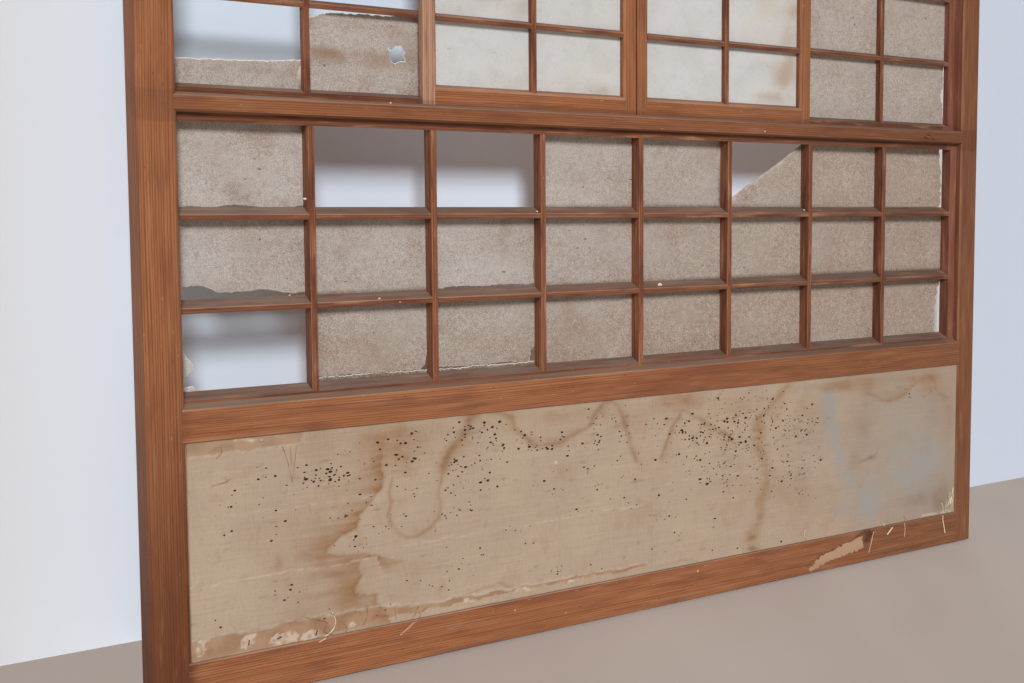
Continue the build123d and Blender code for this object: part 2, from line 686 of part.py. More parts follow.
low_1, high_1 = row_span(lower_sill, 0, lower_rows, lower_head)
low_2, high_2 = row_span(lower_sill, 1, lower_rows, lower_head)
low_3, high_3 = row_span(lower_sill, 2, lower_rows, lower_head)
loose_edge = pane_left(3) - upright_width - joint_clearance
with BuildPart() as lower_paper:
    # Lowest row: the first pane is gone, apart from two scraps at the stile, and the last has a torn edge
    paste([
        (seam(1), high_1), (seam(1), lower_sill + 4),
        *torn(lower_sill, 0, 1, [
            (4, 3.6), (30, 4.2), (60, 3.2), (92, 3.4), (96, 7), (97.6, 15), (99, 25),
        ]),
        *torn(lower_sill, 0, 2, [
            (-1.5, 22), (-1, 4.4), (30, 3.2), (70, 3.9), (92.8, 2.8), (94.2, 14), (99, 17), (100, -4),
        ]),
        *torn(lower_sill, 0, 7, [
            (90, -5), (91, 2), (90.2, 8), (89.4, 15), (89.8, 25), (91.6, 38), (95, 53), (98, 61),
        ]),
        (paper_right, lower_sill + 63), (paper_right, high_1),
    ])
    paste([
        (paper_left, lower_sill + 10), (lattice_left, lower_sill + 10.5),
        *torn(lower_sill, 0, 0, [
            (6.4, 12), (10.4, 16.2), (11.4, 21.2), (7.5, 27), (4.4, 32.2), (0, 35),
        ]),
        (paper_left, lower_sill + 37),
    ])
    paste([
        (paper_left, low_1),
        *torn(lower_sill, 0, 0, [(12, -5), (12.6, 2), (10.4, 4.2), (5, 3.2), (0, 5)]),
        (paper_left, lower_sill + 5),
    ])
    # Middle row: all the panes are there; the first has a wavy torn edge below, and the third is loose
    paste([
        *torn(lower_sill, 1, 0, [
            (-5, 10), (4.4, 10.3), (12.4, 10.8), (20.4, 10.3), (25.4, 7.8), (30.4, 4.8), (55.4, 4.8),
            (62.4, 6.3), (70.4, 5.3), (78.4, 3.3), (86.4, 1.8), (98.4, 2.6),
        ]),
        (seam(1), low_2), (seam(2), low_2),
        *torn(lower_sill, 1, 2, [
            (4, 0.4), (19.6, 2.3), (50, 1.6), (75, 2.6), (93, 1.4),
        ]),
        (loose_edge, lower_sill + row_pitch + 3), (loose_edge - 1.2, lower_sill + row_pitch + 16),
        (loose_edge, lower_sill + row_pitch + 30), (loose_edge, high_2 - 7), (seam(3, -1), high_2),
        (paper_left, high_2),
    ])
    paste([(seam(3, 1), low_2), (paper_right, low_2), (paper_right, high_2), (seam(3, 1), high_2)])
    # Upper row: two panes are gone, one has lost a corner, and the last has a torn edge
    paste([
        *torn(lower_sill, 2, 0, [
            (-5, -1.5), (12, 0.6), (26, -0.8), (44, 1.8), (60, 0.2), (80, -1.5), (100, 1.2),
        ]),
        (seam(1), high_3), (paper_left, high_3),
    ])
    paste([(seam(3), low_3), (seam(5, -1), low_3), (seam(5, -1), high_3), (seam(3), high_3)])
    paste([
        (seam(5, 1), low_3),
        *torn(lower_sill, 2, 7, [
            (94, -2.35), (95, 2.5), (97.6, 6), (97.4, 29), (95.5, 36), (96, 48), (93.1, 56), (93.4, 69),
            (95, 78.5),
        ]),
        (seam(6), high_3),
        *torn(lower_sill, 2, 5, [
            (100.3, 68.2), (78, 55.4), (66, 48.4), (38, 26.4), (11, 11.4),
        ]),
        (seam(5, 1), lower_sill + 2 * row_pitch + 5),
    ])
save(lower_paper, "lower_paper")

post_paper_left = left_post + paper_lap - joint_clearance
post_paper_right = right_post + post_width - paper_lap + joint_clearance
window_low = window_sill - paper_lap
post_foot = guide_rear_top + joint_clearance
window_row_3 = row_span(window_sill, 2, window_rows, window_head)[0]
window_top = window_head + paper_lap
with BuildPart() as left_side_paper:
    # The first pane keeps only a strip at its foot, the second has sagged, and above them both are gone
    paste([
        (paper_left, window_low), (seam(1, -1), window_low),
        *torn(window_sill, 0, 0, [
            (100.3, 24.8), (95.4, 24.2), (70.4, 21.7), (30.4, 20.2), (-5, 19.3),
        ]),
    ])
    paste([
        (seam(1, 1), window_low), (left_post - joint_clearance, window_low),
        (left_post - joint_clearance, post_foot), (post_paper_left, post_foot),
        (post_paper_left, window_sill + 68),
        *torn(window_sill, 0, 1, [
            (93.5, 67.2), (81.5, 68.7), (75.5, 67.7), (67.5, 66.7), (27.5, 65.7), (17.5, 64.7),
            (10.5, 63.2), (3.5, 60.7), (-2.4, 58),
        ]),
    ])
    with BuildSketch(Plane.XZ.offset(-paper_back)):
        with BuildLine():
            Polyline(*torn(window_sill, 0, 1, [
                (67, 39.7), (70.5, 38.7), (73.5, 42.2), (78.5, 42.2), (81.5, 37.2), (80.5, 34.2),
                (82, 29.2), (76.5, 28.7), (73.5, 26.7), (70.5, 28.2), (68.5, 32.2), (69.5, 36.2),
            ]), close=True)
        make_face()
    extrude(amount=paper_thickness, mode=Mode.SUBTRACT)
    paste([(paper_left, window_row_3), (post_paper_left, window_row_3), (post_paper_left, window_top),
           (paper_left, window_top)])
save(left_side_paper, "left_side_paper")

with BuildPart() as right_side_paper:
    paste([
        (post_paper_right, post_foot), (right_post + post_width + joint_clearance, post_foot),
        (right_post + post_width + joint_clearance, window_low), (paper_right, window_low),
        (paper_right, window_sill + 7),
        *torn(window_sill, 0, 7, [
            (97.2, 9), (97, 24), (94.5, 29), (93.1, 34), (94, 38.5), (97.4, 42), (97.2, 66),
        ]),
        (paper_right, window_sill + 68), (paper_right, window_top), (post_paper_right, window_top),
    ])
save(right_side_paper, "right_side_paper")

with BuildPart() as top_paper:
    paste([(paper_left, top_sill - paper_lap), (paper_right, top_sill - paper_lap),
           (paper_right, top_head + paper_lap), (paper_left, top_head + paper_lap)])
save(top_paper, "top_paper")

print(f"width {overall_width:.1f}, height {overall_height:.1f}, thickness {frame_thickness:.1f}")
print(f"window sill {window_sill:.1f}, lip {lip_top:.1f}, small end pane {small_end_pane:.1f}")
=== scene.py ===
"""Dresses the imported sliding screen: weathered wood, torn paper, water stains, small remains and a studio.

Lengths in the tables below are in millimetres: X from the screen's left edge, depth from its lattice side, Z
from its foot. `place` turns them into the row frame.
"""

import json
import math
import random

import bmesh
import bpy
from bpy.props import FloatProperty, FloatVectorProperty, IntProperty, PointerProperty
from mathutils import Matrix, Vector, geometry, noise


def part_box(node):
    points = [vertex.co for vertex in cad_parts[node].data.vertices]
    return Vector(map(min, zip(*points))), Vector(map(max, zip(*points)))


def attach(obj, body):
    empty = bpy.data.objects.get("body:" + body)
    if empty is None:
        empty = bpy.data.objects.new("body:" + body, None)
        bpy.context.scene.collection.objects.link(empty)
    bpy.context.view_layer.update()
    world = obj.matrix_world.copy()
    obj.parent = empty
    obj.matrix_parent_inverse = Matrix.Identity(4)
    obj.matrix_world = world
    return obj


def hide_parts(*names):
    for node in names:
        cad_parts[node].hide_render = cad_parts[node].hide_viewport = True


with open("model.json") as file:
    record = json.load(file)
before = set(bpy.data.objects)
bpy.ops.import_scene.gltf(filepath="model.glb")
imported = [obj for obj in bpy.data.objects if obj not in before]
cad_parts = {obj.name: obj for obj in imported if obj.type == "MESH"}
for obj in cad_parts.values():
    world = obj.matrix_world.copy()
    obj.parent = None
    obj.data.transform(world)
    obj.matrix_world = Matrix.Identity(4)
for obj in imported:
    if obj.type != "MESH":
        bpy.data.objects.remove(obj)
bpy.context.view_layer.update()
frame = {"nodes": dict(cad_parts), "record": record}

bl_info = {
    "name": "Shoji Screen Dressing",
    "version": (1, 0, 0),
    "blender": (4, 5, 0),
    "location": "3D View > Sidebar > Screen",
    "description": "Wood, torn paper, stains and studio for a lattice sliding screen",
    "category": "Object",
}

MM = 0.001
LEFT_EDGE = -440.4
FRONT = -13.5

PANE_WIDTH = 97.9
UPRIGHT_WIDTH = 5.0
COLUMN_PITCH = PANE_WIDTH + UPRIGHT_WIDTH
COLUMNS = 8
LATTICE_LEFT = 29.6
LATTICE_RIGHT = LATTICE_LEFT + COLUMNS * COLUMN_PITCH - UPRIGHT_WIDTH
CROSSBAR_HEIGHT = 4.7
ROW_PITCH = 74.4
PAPER_LAP = 5.0
PAPER_SEAM = 0.2
PAPER_DEPTH = 20.7
PAPER_LEFT = LATTICE_LEFT - PAPER_LAP
PAPER_RIGHT = LATTICE_RIGHT + PAPER_LAP
LOWER_SILL, LOWER_HEAD = 246.8, 469.1
WINDOW_SILL, WINDOW_HEAD = 493.8, 935.5
TOP_SILL, TOP_HEAD = 966.0, 1705.3
LOWER_ROWS, WINDOW_ROWS, TOP_ROWS = 3, 6, 10
LEFT_POST, RIGHT_POST, POST_WIDTH = 230.4, 637.0, 10.0
POST_FOOT = 490.9
POST_PAPER_LEFT = 234.3
POST_PAPER_RIGHT = 643.1
FACING_DEPTH = 1.1
SCREEN_DEPTH = 27.0
LEFT_POST_BAR, RIGHT_POST_BAR = 234, 643
PAPER_SLACK = 0.02
PAPER_THICKNESS = 0.25


def place(x, depth, z):
    """A point of the screen in the row frame, in metres."""
    return Vector(((x + LEFT_EDGE) * MM, (depth + FRONT) * MM, z * MM))


def linear(red, green, blue):
    """A colour of the screen, given as display values of 0 to 255, in Blender's linear values."""
    values = []
    for level in (red, green, blue):
        level /= 255
        values.append(level / 12.92 if level <= 0.04045 else ((level + 0.055) / 1.055) ** 2.4)
    return tuple(values)


def opaque(colour):
    return tuple(colour) + (1.0,)


def shade(*levels):
    return opaque(linear(*levels))


def colour_property(name, description, *levels):
    return FloatVectorProperty(name=name, description=description, default=linear(*levels), size=3, min=0, max=1,
                               subtype="COLOR")


def length_property(name, description, millimetres):
    return FloatProperty(name=name, description=description, default=millimetres * MM, min=0, subtype="DISTANCE",
                         unit="LENGTH", precision=4)


# Nodes


class Wire:
    """The output of a shader node. Arithmetic on it adds Math nodes."""

    def __init__(self, net, socket):
        self.net = net
        self.socket = socket

    def math(self, operation, *others):
        return self.net.math(operation, self, *others)

    def __add__(self, other):
        return self.math("ADD", other)

    def __sub__(self, other):
        return self.math("SUBTRACT", other)

    def __rsub__(self, other):
        return self.net.math("SUBTRACT", other, self)

    def __mul__(self, other):
        return self.math("MULTIPLY", other)

    def __truediv__(self, other):
        return self.math("DIVIDE", other)

    def __abs__(self):
        return self.math("ABSOLUTE")


class Net:
    """The node tree of one material or of the world."""

    def __init__(self, tree):
        self.tree = tree
        tree.nodes.clear()

    def node(self, kind, settings=None, inputs=None):
        """Adds a node: its settings first, then the values or links of its sockets."""
        made = self.tree.nodes.new("ShaderNode" + kind)
        for name, value in (settings or {}).items():
            setattr(made, name, value)
        for name, value in (inputs or {}).items():
            if isinstance(value, Wire):
                self.tree.links.new(value.socket, made.inputs[name])
            else:
                made.inputs[name].default_value = value
        return made

    def wire(self, kind, output=0, settings=None, inputs=None):
        return Wire(self, self.node(kind, settings, inputs).outputs[output])

    def math(self, operation, *values):
        return self.wire("Math", 0, {"operation": operation}, dict(enumerate(values)))

    def split(self, vector):
        made = self.node("SeparateXYZ", None, {0: vector})
        return [Wire(self, made.outputs[index]) for index in range(3)]

    def join(self, x, y, z):
        return self.wire("CombineXYZ", 0, None, {0: x, 1: y, 2: z})

    def step(self, value, low, high, start=0.0, end=1.0):
        """Rises smoothly from start to end while value goes from low to high."""
        return self.wire("MapRange", 0, {"interpolation_type": "SMOOTHSTEP"},
                         {0: value, 1: low, 2: high, 3: start, 4: end})

    def mix(self, first, second, factor):
        return self.wire("Mix", 2, {"data_type": "RGBA", "clamp_factor": True}, {0: factor, 6: first, 7: second})

    def tinted(self, tone, *layers, share=None, strength=1.0):
        """Lays colours over a tone. A layer is a value, the levels it rises between, an amount and a colour."""
        for value, low, high, amount, levels in layers:
            mask = self.step(value, low, high, 0.0, amount * strength)
            tone = self.mix(tone, shade(*levels), mask if share is None else mask * share)
        return tone

    def noise(self, vector, scale, detail=2.0, roughness=0.5):
        return self.wire("TexNoise", 0, None, {"Vector": vector, "Scale": scale, "Detail": detail,
                                               "Roughness": roughness})

    def attribute(self, name):
        return self.wire("Attribute", "Fac", {"attribute_name": name})


def new_material(name):
    material = bpy.data.materials.new(name)
    material.use_nodes = True
    return material, Net(material.node_tree)


def finish_surface(net, colour, roughness, height=None, distance=0.0003, strength=0.5, specular=0.5):
    inputs = {"Base Color": colour, "Roughness": roughness, "Specular IOR Level": specular}
    if height is not None:
        inputs["Normal"] = net.wire("Bump", 0, None, {"Height": height, "Distance": distance,
                                                      "Strength": strength})
    shader = net.wire("BsdfPrincipled", 0, None, inputs)
    net.node("OutputMaterial", None, {"Surface": shader})


MARK_BLUR, MARK_END_BLUR = 0.25, 0.3
TEAR_REACH = 9.0


def mark(net, x, z, x0, z0, x1, z1, start, end, ragged):
    """A mask along a run in mm, whose half width goes from start to end. Ragged, if given, tears its outline."""
    run = Vector((x1 - x0, z1 - z0))
    ahead = run.normalized()
    away_x, away_z = x - (x0 + LEFT_EDGE) * MM, z - z0 * MM
    along = away_x * ahead.x + away_z * ahead.y
    off = abs(away_z * ahead.x - away_x * ahead.y)
    if start != end:
        off = off - along * ((end - start) / run.length)
    if ragged is not None:
        wander = (ragged - 0.5) * (TEAR_REACH * MM)
        off, along = off + wander, along + wander
    beside = net.step(off, (start + MARK_BLUR) * MM, (start - MARK_BLUR) * MM)
    begun = net.step(along, -MARK_END_BLUR * MM, MARK_END_BLUR * MM)
    ended = net.step(along, (run.length + MARK_END_BLUR) * MM, (run.length - MARK_END_BLUR) * MM)
    return beside * begun * ended


RING_WIDTH = 0.0018
GUIDE_RAIL_MIDDLE = 0.484


def wood_material(name, grain, early, late, dust, dust_share=1.0, marks=(), worn=0.25):
    """Old straight-grained softwood. Grain is the axis, X or Z, that its growth lines follow."""
    material, net = new_material(name)
    line_share = 0.80 if grain == "Z" else 0.66
    coordinates = net.node("TexCoord")
    spot = Wire(net, coordinates.outputs["Object"])
    x, y, z = net.split(spot)
    nx, ny, nz = net.split(Wire(net, coordinates.outputs["Normal"]))
    piece = net.wire("ObjectInfo", "Random") * 7.0
    run, across = (x, z) if grain == "X" else (z, x)

    def drawn_out(along, over, detail):
        """Noise that is longer along the grain and differs from piece to piece."""
        return net.noise(net.join(run * along + piece, across * over, y * over), 1.0, detail)

    sway = net.noise(net.join(run * 2.4, across * 3.0, piece), 1.0, 1.0)
    rings = across * 0.9 + y * 0.44 + sway * 0.010
    bands = net.noise(net.join(run * 1.2, rings * 210.0, piece), 1.0, 2.0)
    lines = net.step((rings * (math.tau / RING_WIDTH) + bands * 15.0).math("SINE"), 0.15, 0.98)
    streaks = net.noise(net.join(run * 16.0, across * 1500.0, y * 1500.0), 1.0, 2.0)
    fleck = net.noise(net.join(run * 150.0, across * 560.0 + piece, y * 560.0), 1.0, 1.0)
    wear = net.noise(net.join(run * 22.0 + piece, across * 190.0, y * 190.0 + piece), 1.0, 3.0)
    clouds, blotch, ribbons = drawn_out(3.5, 16.0, 3.0), drawn_out(16.0, 70.0, 2.0), drawn_out(5.0, 260.0, 2.0)

    # Growth lines, and the colour that wanders over them
    tone = net.mix(early, late, lines * net.step(clouds, 0.25, 0.7, line_share * 0.55, line_share))
    tone = net.mix(tone, late, net.step(bands, 0.52, 0.80, 0.0, 0.30))
    tone = net.mix(tone, late, net.step(streaks, 0.45, 0.75, 0.0, 0.45))
    tone = net.tinted(
        tone, (ribbons, 0.56, 0.78, 0.22, (196, 150, 116)), (ribbons, 0.42, 0.20, 0.30, (96, 52, 38)),
        (clouds, 0.50, 0.74, 0.45, (180, 118, 76)), (clouds, 0.48, 0.28, 0.50, (116, 66, 48)),
        (blotch, 0.54, 0.74, 0.40, (112, 74, 62)))
    edge = net.step(abs(nx * ny) + abs(nz * ny), 0.25, 0.45)
    tone = net.mix(tone, shade(182, 130, 94), edge * net.step(blotch, 0.35, 0.60, 0.10, 0.60))
    # Pale and dark flecks, then painted shade that darkens the wood towards the right.
    tone = net.tinted(tone, (fleck, 0.76, 0.81, 0.6, (200, 160, 124)), (fleck, 0.25, 0.21, 0.5, (74, 46, 36)),
                      (x, -0.1, 0.46, 0.48, (86, 58, 44)))
    on_guide_rail = net.step(abs(z - GUIDE_RAIL_MIDDLE), 0.014, 0.011)
    tone = net.mix(tone, shade(92, 54, 36), on_guide_rail * net.step(x, -0.6, 0.3, 0.22, 0.36))
    left_foot = net.step(z, 0.34, 0.02) * net.step(x, -0.405, -0.415)
    tone = net.mix(tone, shade(88, 42, 20), left_foot * 0.80)

    # Dust on what faces up, then wear, which the dust hides
    lying = net.step(nz, 0.55, 0.85) * net.step(blotch, 0.25, 0.60, 0.94, 0.66) * dust_share
    # Painted light on the dust: lighter at the far left and darker towards the right.
    dust = net.tinted(dust, (x, -0.28, -0.33, 0.7, (136, 124, 112)), (x, 0.08, 0.22, 0.55, (84, 76, 68)),
                      (clouds, 0.46, 0.64, 0.7, (92, 72, 62)))
    tone = net.mix(tone, dust, lying)
    tone = net.tinted(tone, (wear, 0.50, 0.66, worn, (82, 42, 34)), (wear, 0.44, 0.28, worn * 0.7, (196, 146, 114)),
                      share=1.0 - lying * 0.7)
    # Painted light: the recessed faces at the far right are lightened and made pinker, as if lit from the left.
    painted_light_right_faces = net.step(x, 0.398, 0.402) * net.step(y, -0.0131, -0.0120) * net.step(z, 0.235, 0.245)
    tone = net.mix(tone, shade(172, 114, 98), painted_light_right_faces * net.step(wear, 0.25, 0.60, 0.45, 0.22))

    torn = net.noise(spot, 230.0, 3.0) if marks else None
    for colour, is_torn, courses in marks:
        if is_torn:
            colour = net.mix(colour, shade(150, 116, 94), net.step(blotch, 0.4, 0.7, 0.0, 0.35))
        for *course, amount in courses:
            tone = net.mix(tone, colour, mark(net, x, z, *course, torn if is_torn else None) * amount)
    height = lines * -0.5 + streaks * 0.4 + net.step(fleck, 0.76, 0.81) * 0.6
    finish_surface(net, tone, net.step(clouds, 0.3, 0.7, 0.60, 0.76), height, 0.0003, 0.4, 0.3)
    return material


# Painted light: spots where the paper is lightened as if the lit wall behind shone through it; the last two whiten
# the torn remains at the left edge.
BACKLIGHT_AND_PALE_SPOTS = [
    (46, 356, 30, 44, 0.45), (40, 400, 34, 26, 0.3), (110, 402, 40, 22, 0.18), (285, 334, 60, 22, 0.5),
    (258, 372, 34, 30, 0.25), (190, 350, 46, 34, 0.2), (345, 400, 30, 24, 0.25), (36, 271, 16, 24, 1.0),
    (36, 247, 24, 9, 1.0),
]


def paper_material(name, grey, brown, old=True):
    """Handmade paper: greyed and mottled where old, browner to the right and at its foot, or nearly even."""
    material, net = new_material(name)
    coordinates = net.wire("TexCoord", "Object")
    x, y, z = net.split(coordinates)
    cloud = net.noise(coordinates, 9.0, 3.0)
    patch = net.noise(coordinates, 34.0, 3.0)
    fleece = net.noise(coordinates, 1300.0, 2.0, 0.60)
    felt = net.noise(coordinates, 230.0, 2.0, 0.55)
    strands = net.noise(net.join(x * 900.0, y * 300.0, z * 260.0), 1.0, 2.0)
    speck = net.noise(coordinates, 240.0, 0.0)
    amount = 1.0 if old else 0.30
    if old:
        share = net.step(x + (cloud - 0.5) * 0.3, -0.20, 0.36) * net.step(z, 0.50, 0.46, 0.35, 1.0)
        share = share + net.step(z, 0.34, 0.25, 0.0, 0.75)
    else:
        share = net.step(cloud, 0.50, 0.72, 0.0, 0.8)
    tone = net.tinted(
        net.mix(grey, brown, share), (patch, 0.50, 0.74, 0.46, (150, 120, 98)),
        (patch, 0.48, 0.26, 0.46, (196, 190, 184)), share=net.step(x, -0.10, 0.10, 1.0, 0.55), strength=amount)
    if old:
        # Painted light through the paper, and the paler remains at the left edge.
        for near_x, near_z, reach_x, reach_z, share in BACKLIGHT_AND_PALE_SPOTS:
            off_x = (x - (near_x + LEFT_EDGE) * MM) / (reach_x * MM)
            off_z = (z - near_z * MM) / (reach_z * MM)
            tone = net.mix(tone, shade(206, 205, 204), net.step(off_x * off_x + off_z * off_z, 1.0, 0.0) * share)
        # Darker in the two lower rows, and painted shade that darkens the paper towards the right.
        low_and_shaded_right = net.step(z, 0.394, 0.386, 0.0, 0.15) + net.step(x, 0.16, 0.36, 0.0, 0.15)
        tone = net.mix(tone, shade(140, 122, 108), low_and_shaded_right)
    tone = net.tinted(
        tone, (fleece, 0.46, 0.78, 0.70, (222, 212, 202)), (fleece, 0.54, 0.22, 0.56, (98, 76, 62)),
        (felt, 0.50, 0.75, 0.20, (210, 202, 194)), (felt, 0.48, 0.26, 0.20, (124, 102, 86)),
        (strands, 0.58, 0.75, 0.25, (226, 220, 210)), (speck, 0.82, 0.86, 0.6, (84, 58, 44)), strength=amount)
    stain = net.attribute("stain") * net.step(patch, 0.34, 0.60, 0.25, 1.0)
    tone = net.mix(tone, shade(146, 118, 94) if old else shade(172, 140, 106), stain)
    # Painted shade: soft grey clouds on the newer paper stand in for the shade of its wrinkles.
    if not old:
        tone = net.tinted(tone, (net.noise(coordinates, 45.0, 4.0), 0.50, 0.72, 0.30, (184, 184, 182)))
    tone = net.mix(tone, shade(244, 238, 228), net.attribute("rim") * 0.8)
    finish_surface(net, tone, 0.88, fleece + patch, 0.0003 if old else 0.0006, 0.4, 0.2)
    return material


# Mesh pieces


def mesh_piece(name, vertices, faces, materials, body="frame", smooth=False, values=None):
    """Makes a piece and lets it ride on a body."""
    mesh = bpy.data.meshes.new(name)
    mesh.from_pydata([tuple(vertex) for vertex in vertices], [], faces)
    for label, numbers in (values or {}).items():
        layer = mesh.attributes.new(label, "FLOAT", "POINT")
        layer.data.foreach_set("value", numbers)
    shaper = bmesh.new()
    shaper.from_mesh(mesh)
    bmesh.ops.recalc_face_normals(shaper, faces=shaper.faces)
    shaper.to_mesh(mesh)
    shaper.free()
    for material in materials:
        mesh.materials.append(material)
    if smooth:
        for polygon in mesh.polygons:
            polygon.use_smooth = True
    piece = bpy.data.objects.new(name, mesh)
    bpy.context.scene.collection.objects.link(piece)
    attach(piece, body)
    return piece


TEAR_LAYER, TEAR_WAVES, TEAR_WANDER = 3.1, 0.45, 1.6


def rough_edge(outline, draw, reach, stride):
    """Breaks the torn runs of an outline into short steps that wander to either side."""
    points = []
    count = len(outline)
    for index, (x, z, is_torn) in enumerate(outline):
        next_x, next_z, next_torn = outline[(index + 1) % count]
        points.append((x, z, is_torn))
        if not (is_torn and next_torn):
            continue
        run = Vector((next_x - x, next_z - z))
        steps = int(run.length / stride)
        side = Vector((-run.y, run.x)).normalized()
        for step in range(1, steps):
            share = step / steps
            spot = Vector((x + run.x * share, z + run.y * share, TEAR_LAYER))
            away = noise.noise(spot * TEAR_WAVES) * reach * TEAR_WANDER
            away += draw.uniform(-0.5, 0.5) * reach
            points.append((x + run.x * share + side.x * away, z + run.y * share + side.y * away, 1))
    return points


def inside(x, z, loop):
    odd = False
    for index in range(len(loop)):
        x0, z0 = loop[index - 1][:2]
        x1, z1 = loop[index][:2]
        if (z0 > z) != (z1 > z) and x < (x1 - x0) * (z - z0) / (z1 - z0) + x0:
            odd = not odd
    return odd


def near_loop(x, z, loop, limit):
    for index in range(len(loop)):
        x0, z0 = loop[index - 1][:2]
        x1, z1 = loop[index][:2]
        run_x, run_z = x1 - x0, z1 - z0
        span = run_x * run_x + run_z * run_z
        share = 0.0 if span == 0 else max(0.0, min(1.0, ((x - x0) * run_x + (z - z0) * run_z) / span))
        if (x - x0 - run_x * share) ** 2 + (z - z0 - run_z * share) ** 2 < limit * limit:
            return True
    return False


OUTLINE_TEAR, HOLE_TEAR = (0.55, 1.1), (0.35, 0.8)
RIM_WIDTHS, LEAST_RIM = (0.5, 1.1), 0.3
GRID_CLEARANCE = 1.6


def rim_spots(loops, draw):
    """Points just inside the torn edges, where the bright rim of a tear ends."""
    for number, loop in enumerate(loops):
        turn = sum((loop[i - 1][0] * loop[i][1] - loop[i][0] * loop[i - 1][1]) for i in range(len(loop)))
        inward = (1 if turn > 0 else -1) * (-1 if number else 1)
        for index, (x, z, is_torn) in enumerate(loop):
            if not is_torn:
                continue
            before, after = loop[index - 1], loop[(index + 1) % len(loop)]
            side = Vector((before[1] - after[1], after[0] - before[0])) * inward
            if side.length:
                side = side.normalized() * draw.uniform(*RIM_WIDTHS)
                spot = (x + side.x, z + side.y)
                if inside(*spot, loops[0]) and not near_loop(*spot, loop, LEAST_RIM):
                    yield spot


def grid_spots(loops, spacing):
    """Points of a regular grid that lie well inside a sheet."""
    low_x, high_x = min(p[0] for p in loops[0]), max(p[0] for p in loops[0])
    low_z, high_z = min(p[1] for p in loops[0]), max(p[1] for p in loops[0])
    columns = max(1, round((high_x - low_x) / spacing))
    rows = max(1, round((high_z - low_z) / spacing))
    for column in range(1, columns):
        for row in range(1, rows):
            x = low_x + (high_x - low_x) * column / columns
            z = low_z + (high_z - low_z) * row / rows
            is_paper = inside(x, z, loops[0]) and not any(inside(x, z, hole) for hole in loops[1:])
            if is_paper and not any(near_loop(x, z, loop, GRID_CLEARANCE) for loop in loops):
                yield x, z


def paper_piece(name, sheets, node, shape, material, body="frame", spacing=6.0, seed=1, stains=()):
    """Sheets of paper in one piece, each an outline and then its holes. Shape gives the depth at X and Z."""
    draw = random.Random(seed)
    vertices, faces, rims, browns = [], [], [], []
    for outline, *holes in sheets:
        loops = [rough_edge(outline, draw, *OUTLINE_TEAR)] + [rough_edge(hole, draw, *HOLE_TEAR) for hole in holes]
        points, edges, rim = [], [], []
        for loop in loops:
            first = len(points)
            edges += [(first + index, first + (index + 1) % len(loop)) for index in range(len(loop))]
            points += [(x, z) for x, z, is_torn in loop]
            rim += [float(is_torn) for x, z, is_torn in loop]
        points += rim_spots(loops, draw)
        points += grid_spots(loops, spacing)
        rim += [0.0] * (len(points) - len(rim))
        spots, _, triangles, origins, _, _ = geometry.delaunay_2d_cdt([Vector(p) for p in points], edges, [], 1,
                                                                      1e-4)
        first, count = len(vertices), len(spots)
        rims += [rim[origin[0]] if origin else 0.0 for origin in origins] * 2
        browns += [min(1.0, sum(amount * math.exp(-((spot.x - x) / reach_x) ** 2 - ((spot.y - z) / reach_z) ** 2)
                                for x, z, reach_x, reach_z, amount in stains)) for spot in spots] * 2
        for behind in (0.0, PAPER_THICKNESS):
            vertices += [place(spot.x, shape(spot.x, spot.y) + behind, spot.y) for spot in spots]
        kept = []
        for triangle in triangles:
            centre = sum((spots[i] for i in triangle), Vector((0, 0))) / 3
            if not any(inside(centre.x, centre.y, hole) for hole in loops[1:]):
                kept.append(tuple(triangle))
        for a, b, c in kept:
            faces.append((first + a, first + b, first + c))
            faces.append((first + count + c, first + count + b, first + count + a))
        used = dict.fromkeys((triangle[i], triangle[(i + 1) % 3]) for triangle in kept for i in range(3))
        for a, b in used:
            if (b, a) not in used:
                faces.append((first + b, first + a, first + count + a, first + count + b))
    piece = mesh_piece(name, vertices, faces, [material], body, True, {"rim": rims, "stain": browns})
    if node:
        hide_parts(node)


def pane_left(column):
    return LATTICE_LEFT + column * COLUMN_PITCH


def seam(column, side=0):
    return pane_left(column) - UPRIGHT_WIDTH / 2 + side * PAPER_SEAM / 2


def row_span(sill, row, rows, head):
    middle = sill - (CROSSBAR_HEIGHT - PAPER_SEAM) / 2
    low = middle + row * ROW_PITCH if row else sill - PAPER_LAP
    high = middle + (row + 1) * ROW_PITCH - PAPER_SEAM if row < rows - 1 else head + PAPER_LAP
    return low, high


def cut(*points):
    """Corners of an edge that was cut with a knife."""
    return [(x, z, 0) for x, z in points]


def torn(sill, row, column, points, is_torn=1):
    """Corners of a torn edge, given from the lower left corner of the pane in a row above a sill."""
    return [(pane_left(column) + x, sill + row * ROW_PITCH + z, is_torn) for x, z in points]


PASTED_HALF_WIDTH = 2.6


def bulge(x, z, columns, rows, height, seed):
    """How far a sheet pasted on bars wanders between them."""
    free = 1.0
    for at, bars, reach in ((x, columns, 14), (z, rows, 12)):
        free *= min(1.0, max(0.0, min(abs(at - bar) for bar in bars) - PASTED_HALF_WIDTH) / reach)
    return free * height * noise.noise(Vector((x / 42, z / 30, seed)))


def hung_on(columns, rows, height, seed, depth=PAPER_DEPTH):
    """The depth at X and Z of a sheet that is pasted on the bars at these columns and rows."""
    return lambda x, z: depth + PAPER_SLACK + bulge(x, z, columns, rows, height, seed)


SIDE_STRIP_MIDDLE, STRIP_MIDDLE = 4, 3
COLUMN_BARS = [LATTICE_LEFT - SIDE_STRIP_MIDDLE, *(seam(column) for column in range(1, COLUMNS)),
               LATTICE_RIGHT + SIDE_STRIP_MIDDLE]


def row_bars(sill, rows, head):
    crossbars = [sill + row * ROW_PITCH - CROSSBAR_HEIGHT / 2 for row in range(1, rows)]
    return [sill - STRIP_MIDDLE, *crossbars, head + STRIP_MIDDLE]


# Add-on settings


